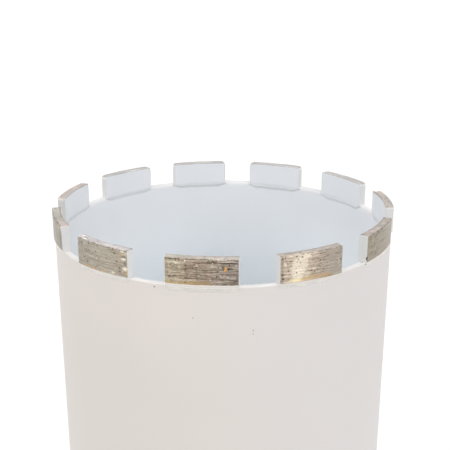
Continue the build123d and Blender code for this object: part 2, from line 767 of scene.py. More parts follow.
@dataclass(frozen=True)
class GroundMetal(Finish):
    """Sintered segment: ground bare outside and on top, sprayed white on its other faces."""

    paint: SprayPaint
    dark: Colour = srgb(84, 74, 64)
    low: Colour = srgb(134, 122, 108)
    mean: Colour = srgb(157, 145, 131)
    high: Colour = srgb(177, 166, 152)
    bright: Colour = srgb(222, 214, 203)
    greenish: Colour = (0.965, 1.0, 0.965)
    purplish: Colour = (1.03, 0.99, 1.02)
    # painted shade: the grey that the end faces' spray is darkened towards
    dull: Colour = srgb(204, 203, 202)
    roughness: float = 0.42
    scratch_depth: float = 0.05

    def inputs(self, bench: Bench, place: Socket) -> Inputs:
        """The finish of all segments, driven by the segment's own attributes.

        The attributes are place (the pattern's coordinates), bare (millimetres inside the bare area), side
        (which face, whose paint copies differ as painted light and shade), dull (painted shade on the spray
        of the end faces), tone (colour factor that holds both the metal's own tone and painted reflection,
        and calm in its alpha) and the tints crest (the tops' colour, with painted reflection of the light
        above), gold and tint (spots, among them painted glints and highlights), each with its share in alpha.

        Args:
            bench: the material's nodes.
            place: object coordinates in millimetres.

        Returns:
            Values and links of the shader's sockets.
        """
        pattern = bench.attribute("place").outputs["Vector"]
        tone = bench.attribute("tone")
        lively = 1.0 - Signal(bench, tone.outputs["Alpha"])
        streak = bench.noise(bench.scaled(pattern, (0.15, 0.5, 2.0)), 1.0, 5.0, 0.6, 0.3)
        fine_streak = bench.noise(bench.scaled(pattern, (0.5, 1.4, 4.4)), 1.0, 3.0, 0.6)
        mottle = bench.noise(pattern, 1.15, 4.0, 0.65)
        grain = (streak * 0.48 + fine_streak * 0.3 + mottle * 0.22 - 0.5) * lively + 0.5
        shades = (self.dark, self.low, self.mean, self.high, self.bright)
        stops = tuple(zip((0.33, 0.43, 0.5, 0.57, 0.69), shades))
        # the colour factor holds the metal's own tone and painted reflection
        metal = bench.mix(1.0, bench.ramp(grain, stops), tone.outputs["Color"], "MULTIPLY")
        hue = bench.noise(pattern, 0.8, 2.0, 0.5)
        hues = bench.ramp(hue, ((0.4, self.greenish), (0.6, self.purplish)))
        metal = bench.mix(1.0, metal, hues, "MULTIPLY")
        # crest lays the tops' colour, their own with painted reflection of the light above; gold lays the
        # braze
        metal = bench.tinted(bench.tinted(metal, "crest"), "gold")
        metal = bench.mix(0.25, metal, bench.ramp(grain, ((0.4, BLACK), (0.6, WHITE))), "SOFT_LIGHT")
        distance, chance = bench.cells(bench.scaled(pattern, (0.8, 1.0, 1.0)), 1.1)
        pit = distance.step(0.3, 0.14) * chance.step(0.76, 0.8) * (lively * 0.7 + 0.3)
        metal = bench.mix(pit * 0.7, metal, self.dark)
        metal = bench.tinted(metal, "tint")

        paint = self.paint.colour(bench, place, bench.share("side"))
        # painted shade on the end faces
        paint = bench.mix(bench.share("dull"), paint, self.dull)
        ragged = bench.noise(pattern, 1.6, 3.0, 0.6) - 0.5
        bare = (bench.share("bare") + ragged * 0.35).step(-0.05, 0.06)
        height = (streak * 0.4 + fine_streak * 0.6) * lively - pit * 0.5
        rough = mottle * 0.3 + (self.roughness - 0.15)
        return {
            "Base Color": bench.mix(bare, paint, metal),
            "Metallic": bare * 0.85,
            "Roughness": bench.blend_values(bare, self.paint.roughness, rough),
            "Anisotropic": 0.8,
            "Anisotropic Rotation": 0.25,
            "Normal": bench.bump(height * bare, self.scratch_depth),
        }


@dataclass(frozen=True)
class FilletPaint(Finish):
    """Braze fillet under the paint: a little greyer where the spray reached it thinly, with hints of gold.
    Outside its paint is lightened as painted light against the shade of its downward face, and inside
    darkened a little as painted shadow.
    """

    paint: SprayPaint
    # painted light: lighter than the barrel's paint, against the shade the outer fillet takes facing down
    lightened_outside: Colour = srgb(250, 246, 241)
    thin: Colour = srgb(226, 223, 219)
    gold: Colour = srgb(215, 200, 170)
    shadow_share: float = 0.05
    inside_radius: float = 63.4
    outside_radius: float = 65.2

    def inputs(self, bench: Bench, place: Socket) -> Inputs:
        """Paint lightened outside as painted light and darkened a little inside as painted shadow, thin in
        patches, with hints of gold.

        Args:
            bench: the material's nodes.
            place: object coordinates in millimetres.

        Returns:
            Values and links of the shader's sockets.
        """
        outer = bench.radius(place).step(self.inside_radius, self.outside_radius)
        # painted shadow inside, painted light outside
        inside = bench.mix(self.shadow_share, self.paint.colour(bench, place), self.paint.shade)
        paint = bench.mix(outer, inside, self.lightened_outside)
        patchy = bench.noise(place, 0.5, 3.0, 0.6)
        colour = bench.mix(patchy.step(0.35, 0.7) * 0.35, paint, self.thin)
        showing = bench.noise(place, 0.8, 2.0, 0.5).step(0.68, 0.74)
        colour = bench.mix(showing * 0.5, colour, self.gold)
        colour = self.paint.specked(bench, place, colour)
        return {
            "Base Color": colour,
            "Roughness": patchy * 0.2 + 0.4,
            "Normal": bench.bump(bench.noise(place, 1.4, 3.0), 0.03),
        }


@dataclass(frozen=True)
class TurnedSteel(Finish):
    """Bare steel off the lathe: fine rings, a little oil stain and dark in the thread's roots."""

    mean: Colour = srgb(178, 176, 172)
    stain: Colour = srgb(138, 130, 120)
    root: Colour = srgb(92, 88, 82)
    polish: Colour = srgb(205, 203, 199)

    def inputs(self, bench: Bench, place: Socket) -> Inputs:
        """Rings, stain and the thread's dark roots.

        Args:
            bench: the material's nodes.
            place: object coordinates in millimetres.

        Returns:
            Values and links of the shader's sockets.
        """
        x, y, z = bench.split(place)
        radius = bench.radius(place)
        rings = bench.rings(place, (x + y) * 0.02, 3.2, 4.0, 0.65)
        stain = bench.noise(place, 0.16, 4.0, 0.6)
        colour = bench.mix(stain.step(0.45, 0.75) * 0.7, self.mean, self.stain)
        colour = bench.mix(rings.step(0.3, 0.7) * 0.25, colour, self.polish)
        thread = radius.step(14.4, 15.8) * radius.step(16.5, 16.0) * z.step(28.5, 27.5)
        colour = bench.mix(thread * 0.6, colour, self.root)
        return {
            "Base Color": colour,
            "Metallic": 0.9,
            "Roughness": rings * 0.25 + stain * 0.2 + 0.15,
            "Normal": bench.bump(rings, 0.03),
        }


@dataclass(frozen=True)
class PlatePaint(Finish):
    """The same white over turned rings that show through the thin coat."""

    paint: SprayPaint
    grime: Colour = srgb(178, 172, 162)
    ring_depth: float = 0.02

    def inputs(self, bench: Bench, place: Socket) -> Inputs:
        """Paint with grime over turning rings.

        Args:
            bench: the material's nodes.
            place: object coordinates in millimetres.

        Returns:
            Values and links of the shader's sockets.
        """
        x, y, _ = bench.split(place)
        rings = bench.rings(place, (x - y) * 0.01, 2.2, 3.0, 0.6)
        grimy = bench.noise(place, 0.09, 5.0, 0.6).step(0.5, 0.8)
        colour = bench.mix(grimy * 0.25, self.paint.colour(bench, place), self.grime)
        return {
            "Base Color": bench.mix(rings.step(0.35, 0.6) * 0.08, colour, self.paint.shade),
            "Roughness": rings * 0.2 + 0.4,
            "Normal": bench.bump(rings, self.ring_depth, self.paint.peel_bump(bench, place)),
        }


@dataclass(frozen=True)
class WeldPaint(Finish):
    """White sprayed over a weld bead, thinner in random patches, with a few burnt dots."""

    paint: SprayPaint
    thin: Colour = srgb(186, 182, 174)
    burnt: Colour = srgb(110, 96, 84)

    def inputs(self, bench: Bench, place: Socket) -> Inputs:
        """Thin paint with burnt dots.

        Args:
            bench: the material's nodes.
            place: object coordinates in millimetres.

        Returns:
            Values and links of the shader's sockets.
        """
        patchy = bench.noise(place, 0.35, 4.0, 0.6)
        colour = bench.mix(patchy.step(0.5, 0.75) * 0.4, self.paint.colour(bench, place), self.thin)
        distance, chance = bench.cells(place, 0.5)
        dots = distance.step(0.2, 0.08) * chance.step(0.86, 0.88)
        return {
            "Base Color": bench.mix(dots * 0.7, colour, self.burnt),
            "Roughness": patchy * 0.3 + 0.35,
            "Normal": bench.bump(bench.noise(place, 1.1, 3.0, 0.6), 0.06),
        }


# Studio


@dataclass(frozen=True)
class Lamp:
    """A distant soft lamp.

    It stands at a plan angle from +X and an elevation, in degrees. Its strength is the light on a surface
    that faces it, and its width is in degrees.
    """

    name: str
    plan: float
    up: float
    strength: float
    width: float
    colour: Colour = (1.0, 0.995, 0.985)

    def make(self) -> None:
        """Adds the lamp to the scene."""
        data = bpy.data.lights.new(self.name, "SUN")
        data.energy, data.angle, data.color = self.strength, math.radians(self.width), self.colour
        lamp = linked(self.name, data)
        lamp.rotation_mode = "QUATERNION"
        lamp.rotation_quaternion = towards(self.plan, self.up).to_track_quat("Z", "Y")


LAMPS = (
    Lamp("front_lamp", -92.0, 50.0, 0.59, 50.0),
    Lamp("left_lamp", -152.0, 34.0, 0.96, 40.0),
    Lamp("right_lamp", -30.0, 34.0, 1.05, 40.0, (1.0, 0.993, 0.98)),
    Lamp("back_lamp", 86.0, 62.0, 0.4, 40.0, (0.98, 0.99, 1.0)),
)


@dataclass
class Studio:
    """Camera at the photograph's place, a pale world and a white floor."""

    frame_px: float = 450.0
    focal_px: float = 814.155
    axis_px: tuple[float, float] = (223.13, 224.67)
    elevation: float = 18.133
    plan_angle: float = -83.875
    distance: float = 323.13
    roll: float = -0.063
    target_z: float = 390.0
    sensor: float = 36.0
    floor_radius: float = 12000.0
    floor_first_ring: float = 20.0
    floor_gap: float = 0.02
    floor_colour: Colour = srgb(190, 189, 187)
    world_level: float = 0.52
    floor_lift: float = 0.5

    def camera_axes(self) -> tuple[Array, Array]:
        """Where the camera stands and which way it is turned.

        Returns:
            The camera's place in millimetres and its 3 by 3 rotation.
        """
        back = towards(self.plan_angle, self.elevation)
        place = Vector((0.0, 0.0, self.target_z)) + back * self.distance
        turn = (-back).to_track_quat("-Z", "Y") @ Quaternion((0.0, 0.0, 1.0), math.radians(self.roll))
        return np.array(place), np.array(turn.to_matrix())

    def ray(self, x: float, y: float) -> tuple[Array, Array]:
        """The line of sight through a pixel of the photograph.

        Args:
            x: pixels from the picture's left side.
            y: pixels from its top.

        Returns:
            The camera's place and the line's direction.
        """
        place, turn = self.camera_axes()
        across = (x - self.axis_px[0]) / self.focal_px
        down = (y - self.axis_px[1]) / self.focal_px
        return place, turn @ np.array([across, -down, -1.0])

    def on_tube(self, x: float, y: float, radius: float) -> Array:
        """The point where a pixel's line of sight first meets a cylinder about the axis.

        Args:
            x: pixels from the picture's left side.
            y: pixels from its top.
            radius: the cylinder's radius.

        Returns:
            The point in millimetres.
        """
        place, line = self.ray(x, y)
        a = line[:2] @ line[:2]
        b = place[:2] @ line[:2]
        c = place[:2] @ place[:2] - radius**2
        return place + line * (-b - math.sqrt(max(b * b - a * c, 0.0))) / a

    def on_level(self, x: float, y: float, height: float) -> Array:
        """The point where a pixel's line of sight meets a level plane.

        Args:
            x: pixels from the picture's left side.
            y: pixels from its top.
            height: the plane's height.

        Returns:
            The point in millimetres.
        """
        place, line = self.ray(x, y)
        return place + line * (height - place[2]) / line[2]

    def make_camera(self) -> None:
        """Sets the camera, with the small shift that puts the optical axis at its pixel."""
        place, turn = self.camera_axes()
        data = bpy.data.cameras.new("camera")
        data.sensor_width = self.sensor
        data.lens = self.sensor * self.focal_px / self.frame_px
        data.shift_x = 0.5 - self.axis_px[0] / self.frame_px
        data.shift_y = self.axis_px[1] / self.frame_px - 0.5
        data.clip_start, data.clip_end = 0.01, 60.0
        camera = linked("camera", data)
        camera.matrix_world = Matrix.Translation(Vector(place) * MM) @ Matrix(turn.tolist()).to_4x4()
        bpy.context.scene.camera = camera

    def make_world(self) -> None:
        """A plain world at a low level that the camera and polished metal see as white."""
        bench = Bench(bpy.data.worlds.new("world"))
        ends = {"To Min": self.world_level, "To Max": 1.0}
        level = bench.add("ShaderNodeMapRange", None, {0: bench.seen(), **ends})
        shader = bench.add("ShaderNodeBackground", None, {"Color": WHITE, "Strength": level.outputs[0]})
        bench.add("ShaderNodeOutputWorld", None, {"Surface": shader.outputs[0]})
        bpy.context.scene.world = bench.owner

    def make_floor(self) -> None:
        """A wide level disc under the hub, lifted to white for the camera, which keeps the shadow."""
        rings = np.concatenate([[0.0], np.geomspace(self.floor_first_ring, self.floor_radius, 24)])
        disc = lathe(np.stack([rings, np.full(rings.size, -self.floor_gap)], axis=1), 96)
        disc.along = False
        mesh = mesh_of("floor", [disc], closed=False)
        bench = Bench(bpy.data.materials.new("floor"))
        finish = bench.finish(
            {
                "Base Color": self.floor_colour,
                "Roughness": 0.9,
                "Specular IOR Level": 0.1,
                "Emission Color": WHITE,
                "Emission Strength": bench.seen() * self.floor_lift,
            }
        )
        mesh.materials.append(finish)
        floor = linked("floor", mesh)

    def make(self) -> None:
        """Builds the whole studio, with its lamps."""
        scene = bpy.context.scene
        scene.view_settings.view_transform = "Standard"
        self.make_world()
        self.make_floor()
        self.make_camera()
        for lamp in LAMPS:
            lamp.make()
        LOG.info("studio: camera, %d lamps, world and floor", len(LAMPS))


# Barrel


SIDE_GRIT = (
    (154.3, 286.6, 0.42),
    (253.4, 330.5, 0.3),
    (253.0, 334.0, 0.24),
    (193.0, 318.0, 0.26),
    (365.6, 263.7, 0.5),
)
RIM_GRIT = ((360.6, 262.2, 0.42), (362.2, 262.8, 0.36))


@dataclass
class Barrel:
    """Thin tube with softened rim edges and the weld that holds the back plate in it."""

    outer_radius: float = 65.4
    inner_radius: float = 63.1
    bottom_z: float = 36.0
    rim_z: float = 390.0
    rim_round_outside: float = 0.25
    rim_round_inside: float = 1.6
    rim_rise_front: float = 0.16
    rim_rise_back: float = 0.75
    rim_round_near: float = 0.3
    rim_back_shade_share: float = 0.2
    rim_waver: float = 0.03
    weld_vee: float = 1.6
    weld_crown: float = 0.3
    weld_step: float = 2.3
    columns: int = 480

    def specks(self, studio: Studio) -> Specks:
        """Place and radius of the grit seen in the paint, on the barrel's side and on its rim."""
        on_side = [(studio.on_tube(x, y, self.outer_radius), size) for x, y, size in SIDE_GRIT]
        return on_side + [(studio.on_level(x, y, self.rim_z), size) for x, y, size in RIM_GRIT]

    def make_tube(self, paint: SprayPaint) -> None:
        """Turns the tube's outline; its rim rises towards the back and wavers a few hundredths.

        Args:
            paint: the finish.
        """
        vee_radius = self.outer_radius - self.weld_vee
        outline = rounded_loop(
            (
                (self.inner_radius, self.bottom_z, 0.1),
                (vee_radius, self.bottom_z, 0.1),
                (self.outer_radius, self.bottom_z + self.weld_vee, 0.1),
                (self.outer_radius, self.rim_z, self.rim_round_outside),
                (self.inner_radius, self.rim_z, self.rim_round_inside),
            ),
            9.0,
        )
        patch = lathe(outline, self.columns)
        x, y, z = np.moveaxis(patch.points, -1, 0)
        angle, radius = np.arctan2(y, x), np.hypot(x, y)
        rounded = self.inner_radius + self.rim_round_inside
        in_wall = 1.0 - smooth(rounded, rounded + 0.3, radius)
        off_bore = smooth(self.inner_radius - 0.1, self.inner_radius + 0.1, radius)
        foot = self.rim_z - self.rim_round_inside
        # painted shade: where the rim's top, its inner rounding and, towards the back, its far side take
        # their own paint colours
        at_back = smooth(0.45, 0.95, np.sin(angle)) * self.rim_back_shade_share
        patch.layers["rim"] = smooth(self.rim_z - 0.3, self.rim_z - 0.03, z)
        patch.layers["rim_inside_shade"] = smooth(foot - 0.2, foot + 0.6, z) * in_wall
        patch.layers["rim_back_shade"] = at_back * smooth(foot, foot + 0.8, z) * off_bore
        near_rim = smooth(self.rim_z - 1.6, self.rim_z - 0.1, z)
        uneven = Ripple(31, (14.0, 14.0)).on_circle(self.outer_radius, angle)
        self._tighten_near_rim(patch, radius, angle)
        to_back = smooth(-0.2, 0.8, np.sin(angle))
        rise = self.rim_rise_front + (self.rim_rise_back - self.rim_rise_front) * to_back
        waver = np.clip(uneven, -2.0, 2.0) * self.rim_waver - self.rim_waver
        patch.points[..., 2] += near_rim * (waver + rise)
        Piece("barrel_tube", Slot.BARREL, [patch]).make(paint.material("barrel_paint"))

    def _tighten_near_rim(self, patch: Patch, radius: Array, angle: Array) -> None:
        """Makes the rim's inner rounding smaller at the front: its arc shrinks towards the wall's corner.

        Args:
            patch: the tube, whose points are moved.
            radius: distance of each point from the axis.
            angle: plan angle of each point.
        """
        height = patch.points[..., 2]
        in_arc = (height > self.rim_z - self.rim_round_inside - 0.01) & (
            radius < self.inner_radius + self.rim_round_inside + 0.01
        )
        front = smooth(-0.2, 0.6, -np.sin(angle)) * in_arc
        keep = 1.0 - front * (1.0 - self.rim_round_near / self.rim_round_inside)
        reach = self.inner_radius + (radius - self.inner_radius) * keep
        moved = reach * np.cos(angle), reach * np.sin(angle), self.rim_z + (height - self.rim_z) * keep
        patch.points = np.where(in_arc[..., None], np.stack(moved, axis=-1), patch.points)

    def make_weld(self, finish: WeldPaint) -> None:
        """The bead in the vee: a low arc whose crest steps forward like a row of leaning coins.

        The radius gains weld_crown times the arc's height, and a saw-tooth round the circle, bent across
        the bead, takes some of it away.

        Args:
            finish: the finish.
        """
        ripples = round(2.0 * math.pi * self.outer_radius / self.weld_step)
        across = np.linspace(-1.0, 1.0, 15)[:, None]
        arc = 1.0 - across**2
        angle, saw = leaning_coins(ripples, 8, 0.9 * across**2)
        wander = Ripple(41, (30.0, 30.0)).on_circle(65.0, angle)[None, :]
        proud = self.weld_crown * arc * (1.0 - 0.45 * saw + 0.1 * np.clip(wander, -1.0, 1.0))
        radius = self.outer_radius - 0.02 + proud
        height = self.bottom_z + across * (self.weld_vee + 0.05 * wander)
        patch = bead((self.outer_radius - self.weld_vee, self.bottom_z), radius, height)
        Piece("barrel_weld", Slot.WELD, [patch]).make(finish.material("weld_paint_barrel"))


# Crown


class Seed(Enum):
    """First seed of each random pattern of the crown, to which a segment's index is added."""

    COARSE = 110
    JAGGED = 130
    FACET = 150
    STRIP = 170
    LUMPS = 190
    SMALL_LUMPS = 210
    PITS = 700


class Face(Enum):
    """A side of a segment that a mark lies on."""

    OUTER = "outer"
    TOP = "top"


@dataclass(frozen=True)
class Marks:
    """Spots of one kind seen in the photograph.

    A place is a pixel's x and y, half widths across and up in millimetres and, where it leans, the tilt in
    degrees. The share says how strongly the spots cover the metal, and the dent how deep they are.
    """

    colour: Colour
    share: float
    places: tuple[tuple[float, ...], ...]
    face: Face = Face.OUTER
    dent: float = 0.0


@dataclass(frozen=True)
class Strip:
    """Braze wetted up the foot of a segment's outer face: where it runs, and its colour at either end."""

    start: float
    stop: float
    height: float
    left: Colour
    right: Colour
    softness: float = 0.5


@dataclass(frozen=True)
class SegmentLook:
    """How one segment differs from its neighbours. Lengths are in millimetres.

    tones_with_sheen pairs distances along the segment with the factors that its metal's colour takes there;
    they hold both the metal's own tone and painted reflection, lighter where a face mirrors a lamp or the
    bright surroundings.
    """

    tones_with_sheen: tuple[tuple[float, Colour], ...] = ((0.0, (1.0, 1.0, 1.0)),)
    calm: float = 0.0
    right_calm: float = 0.0
    # the top faces' colour: their own ground colour lightened by painted reflection of the light above
    top: Colour = srgb(202, 197, 192)
    # scales the top's pits and the dark lines along the top's edges
    grime: float = 1.0
    lip: float = 0.5
    right_lip: float = 0.5
    longer_left: float = 0.0
    longer_right: float = 0.0
    end_round: float = 0.15
    inner_corner: float = 0.2
    seam_drop: float = 0.1
    # painted shade on the end faces' spray
    ends_shade_share: float = 0.3
    dirty_band: float = 0.4
    cell: float = 0.16
    strip: Strip | None = None
    worn_from: float = 20.0
    worn_to: float = 20.0
    marks: tuple[Marks, ...] = ()

    def longer(self, s: Array) -> Array:
        """How far the end on each point's side reaches past the usual one."""
        return np.where(s < 0.0, self.longer_left, self.longer_right)

    def lip_at(self, share: Array) -> Array:
        """How far the spray covers the foot, by the share of the way from the left end to the right."""
        return self.lip + (self.right_lip - self.lip) * share

    def calm_at(self, s: Array) -> Array:
        """How even the metal is, by the distance along the segment."""
        return self.calm + (self.right_calm - self.calm) * smooth(-2.0, 8.0, s)

    def tone_with_sheen_at(self, s: Array) -> Array:
        """The metal's colour factor at each point, its own tone and painted reflection together, and its calm
        as a fourth value.
        """
        places, factors = zip(*self.tones_with_sheen)
        parts = [np.interp(s, places, part) for part in zip(*factors)]
        return np.stack([*parts, self.calm_at(s)], axis=-1)


@dataclass(frozen=True)
class Pits:
    """Random pits of one face: how many, and the ranges that their draws come from, in millimetres."""

    count: int
    size: tuple[float, float]
    second: tuple[float, float]
    longest: float
    share: tuple[float, float]
    colours: tuple[Colour, ...]
    reach: float = 11.8
    dent: tuple[float, float] = (0.03, 0.12)


class StainsAndHighlights:
    """Colour and share of the spots on a mesh, stains and pits as well as painted glints and highlights, the
    last one added on top, and the depth that they dig.
    """

    def __init__(self, depth: Array, colour: Colour) -> None:
        """Starts with the depth that is there and no share anywhere."""
        self.depth = depth
        self.colour = np.zeros(depth.shape + (3,)) + np.array(colour)
        self.share = np.zeros(depth.shape)

    def lay(self, shape: Array, colour: Colour, amount: float) -> None:
        """Lays a colour over what is there, where the shape is near 1."""
        total = np.maximum(self.share * (1.0 - shape) + shape * amount, 1e-6)
        weight = (shape * amount / total)[..., None]
        self.colour = self.colour * (1.0 - weight) + np.array(colour) * weight
        self.share = np.clip(total, 0.0, 1.0)

    def add(
        self,
        a: Array,
        b: Array,
        widths: tuple[float, float],
        lean: float,
        on: Array,
        colour: Colour,
        amount: float,
    ) -> Array:
        """Adds a soft ellipse: 1 inside and 0 outside, by the leaning distance over its half widths.

        Args:
            a: distance from its centre along the face.
            b: distance from its centre across the face.
            widths: half widths.
            lean: how far it leans, in degrees.
            on: 1 on its face.
            colour: its colour.
            amount: how strongly it covers.

        Returns:
            The ellipse's share at each point.
        """
        c, d = math.cos(math.radians(lean)), math.sin(math.radians(lean))
        u, v = (a * c + b * d) / widths[0], (b * c - a * d) / widths[1]
        shape = (1.0 - smooth(0.45, 1.25, np.sqrt(u * u + v * v))) * on
        self.lay(shape, colour, amount)
        return shape

    def scatter(
        self,
        pits: Pits,
        draw: np.random.Generator,
        a: Array,
        b: Array,
        on: Array,
        count_share: float = 1.0,
        strength: float = 1.0,
    ) -> None:
        """Adds pits at random places on a face.

        Args:
            pits: what to draw.
            draw: the source of the random draws.
            a: distance along the face.
            b: distance across the face.
            on: 1 on the face.
            count_share: share of the pits that are made.
            strength: factor on how strongly they cover.
        """
        for _ in range(round(pits.count * count_share)):
            size = draw.uniform(*pits.size)
            centre = draw.uniform(-pits.reach, pits.reach), draw.uniform(*pits.second)
            widths = size * draw.uniform(1.0, pits.longest), size
            colour = draw.choice(pits.colours) if len(pits.colours) > 1 else pits.colours[0]
            amount = draw.uniform(*pits.share) * strength
            pit = self.add(a - centre[0], b - centre[1], widths, 0.0, on, colour, amount)
            self.depth += pit * draw.uniform(*pits.dent)

    def layer(self) -> Array:
        """Colour and share as four values a point."""
        return with_share(self.colour, self.share)


PIT = srgb(78, 68, 58)
GLINT = srgb(226, 216, 200)
HOLE = srgb(128, 116, 106)
# about one in four of the outer faces' random spots is a painted glint
FACE_PITS = Pits(36, (0.14, 0.3), (0.8, 9.6), 1.8, (0.3, 0.85), (PIT, PIT, PIT, GLINT))
TOP_PITS = Pits(16, (0.16, 0.34), (0.2, 3.1), 2.0, (0.3, 0.75), (HOLE,))
SCRATCHES = ((50, (9.0, 3.0, 1.1), 0.014), (70, (3.0, 2.0, 0.7), 0.010), (90, (7.0, 7.0, 5.0), 0.015))


@dataclass
class Crown:
    """Eleven segments on the rim and the braze under each."""

    looks: dict[int, SegmentLook]
    count: int = 11
    outer_radius: float = 65.99
    length: float = 24.0
    thickness: float = 3.2
    height: float = 9.8
    foot_z: float = 390.2
    rim_z: float = 390.0
    tube_outer: float = 65.4
    tube_inner: float = 63.1
    corner: float = 0.2
    edge: float = 0.22
    seam_steps: int = 96
    bare_margin: float = 0.04
    chip_depth: float = 0.1
    coarse_chip: float = 0.05
    fine_chip: float = 0.03
    fillet_outside: float = 1.4
    fillet_inside: float = 1.4
    fillet_end: float = 0.45

    @property
    def inner_radius(self) -> float:
        """Radius of a segment's inner face."""
        return self.outer_radius - self.thickness

    def centre_angle(self, index: int) -> float:
        """Plan angle in degrees of the middle of a segment."""
        return -90.0 + index * 360.0 / self.count

    def ripple(self, seed: Seed, index: int, *wavelength: float) -> Ripple:
        """One of the crown's patterns for one segment."""
        return Ripple(seed.value + index, wavelength)

    def bend(self, along: Array, deep: Array, z: Array, index: int) -> Array:
        """Carries local coordinates round to the segment's place.

        A point stands at x = along, at the distance inner radius + deep from the axis, facing -Y, and is
        then turned about the axis by the segment's share of the circle.

        Args:
            along: millimetres to the right of the segment's middle, seen from outside.
            deep: millimetres outwards from its inner face.
            z: height.
            index: number of the segment, from 0.

        Returns:
            The points in the shared frame.
        """
        radius = self.inner_radius + deep
        x, y = along, -np.sqrt(radius**2 - along**2)
        turn = math.radians(index * 360.0 / self.count)
        cos, sin = math.cos(turn), math.sin(turn)
        return np.stack([x * cos - y * sin, x * sin + y * cos, z + 0.0 * x], axis=-1)

    def outline(self, cell: float) -> tuple[Array, Array, Array, Array]:
        """Columns round the plan of a segment, starting at the left of its outer face.

        Args:
            cell: spacing of the grid.

        Returns:
            Shares of the half length and of the half thickness at each column, and the two parts of its
            outward normal.
        """
        long_steps, short_steps = round(self.length / cell), round(self.thickness / cell)
        run = np.linspace(-1.0, 1.0, long_steps)
        rise = np.linspace(-1.0, 1.0, short_steps)
        bend = np.linspace(0.0, np.pi / 2.0, 5)[1:-1]
        one_long, one_short, one_bend = np.ones(long_steps), np.ones(short_steps), np.ones(3)
        shares_s = [run, one_bend, one_short, one_bend, -run, -one_bend, -one_short, -one_bend]
        shares_t = [one_long, one_bend, -rise, -one_bend, -one_long, -one_bend, rise, one_bend]
        quarter = np.pi / 2.0
        angles = [
            quarter * one_long,
            quarter - bend,
            0.0 * one_short,
            -bend,
            -quarter * one_long,
            -quarter - bend,
            -2.0 * quarter * one_short,
            -2.0 * quarter - bend,
        ]
        angle = np.concatenate(angles)
        return np.concatenate(shares_s), np.concatenate(shares_t), np.cos(angle), np.sin(angle)

    def rows(self, cell: float) -> tuple[Array, Array, Array]:
        """Rows from the middle of the foot, up the side, round the top edge and in to the top's middle.

        Args:
            cell: spacing of the grid.

        Returns:
            Inset, height and upward tilt of the normal for each row.
        """
        half = self.thickness / 2.0
        foot = np.linspace(half, 0.0, 5)[:-1]
        side = np.linspace(0.0, self.height - self.edge, round(self.height / cell))
        turn = np.linspace(0.0, np.pi / 2.0, 6)[1:]
        top = np.linspace(self.edge, half, round(half / cell))[1:]
        inset = np.concatenate([foot, 0.0 * side, self.edge * (1.0 - np.cos(turn)), top])
        height = np.concatenate(
            [0.0 * foot, side, self.height - self.edge * (1.0 - np.sin(turn)), self.height + 0.0 * top]
        )
        tilt = np.concatenate([0.0 * foot - np.pi / 2.0, 0.0 * side, turn, 0.0 * top + np.pi / 2.0])
        return inset, height, tilt

    def place_mark(self, x: float, y: float, face: Face, index: int, studio: Studio) -> tuple[float, float]:
        """Local coordinates of a mark from its pixel.

        Args:
            x: pixels from the picture's left side.
            y: pixels from its top.
            face: the side that the mark lies on.
            index: number of the segment.
            studio: knows the lines of sight.

        Returns:
            Distance along the segment, and height on the outer face or depth on the top.
        """
        if face is Face.OUTER:
            point = studio.on_tube(x, y, self.outer_radius)
            second = point[2] - self.foot_z
        else:
            point = studio.on_level(x, y, self.foot_z + self.height)
            second = math.hypot(point[0], point[1]) - self.inner_radius
        angle = math.atan2(point[1], point[0]) - math.radians(self.centre_angle(index))
        return math.hypot(point[0], point[1]) * math.sin(angle), second

    def segment_patch(self, index: int, studio: Studio) -> Patch:
        """One segment: a rounded bar bent round the crown, its ground faces scratched, pitted and chipped.

        The grid's columns run round the plan and its rows up the side. A field of depths, made of long low
        scratches, pits and edge chips, moves each point inwards along its normal. Then the ends' corners are
        rounded and the worn facet is cut.

        Args:
            index: number of the segment.
            studio: places the marks.

        Returns:
            The closed patch with the attributes that its finish reads.
        """
        look = self.looks[index]
        share_s, share_t, normal_s, normal_t = self.outline(look.cell)
        inset, height, tilt = (values[:, None] for values in self.rows(look.cell))
        round_plan = np.maximum(np.where(share_t < 0.0, look.inner_corner, self.corner) - inset, 0.0)
        half_s, half_t = self.length / 2.0 - inset, self.thickness / 2.0 - inset
        s = share_s * (half_s - round_plan) + round_plan * normal_s
        s = s * (1.0 + look.longer(s) * 2.0 / self.length)
        t = self.thickness / 2.0 + share_t * (half_t - round_plan) + round_plan * normal_t
        h = height + 0.0 * s

        outer = smooth(self.thickness - 0.5, self.thickness - 0.1, t)
        top = smooth(self.height - 0.35, self.height - 0.05, h)
        ground = np.maximum(outer, top) * smooth(0.2, 0.9, h)
        rough = [np.abs(Ripple(seed + index, waves)(s, t, h)) * deep for seed, waves, deep in SCRATCHES]
        # the spots: pits, chips and marks, among them painted glints and highlights
        stain = StainsAndHighlights(ground * sum(rough), srgb(90, 80, 70))
        on_outer = (t > self.thickness - 0.35).astype(float)
        on_top = (h > self.height - 0.3).astype(float)
        draw = np.random.default_rng(Seed.PITS.value + index)
        lively = 1.0 - (look.calm + look.right_calm) / 2.0
        stain.scatter(FACE_PITS, draw, s, h, on_outer, count_share=lively)
        stain.scatter(TOP_PITS, draw, s, t, on_top, strength=look.grime)
        chips = np.zeros(s.shape)
        for marks in look.marks:
            other, on = (h, on_outer) if marks.face is Face.OUTER else (t, on_top)
            for x, y, across, up, *lean in marks.places:
                along, second = self.place_mark(x, y, marks.face, index, studio)
                a, b = s - along, other - second
                shape = stain.add(a, b, (across, up), sum(lean), on, marks.colour, marks.share)
                stain.depth += shape * marks.dent
                chips = np.maximum(chips, shape * (marks.dent > self.chip_depth))

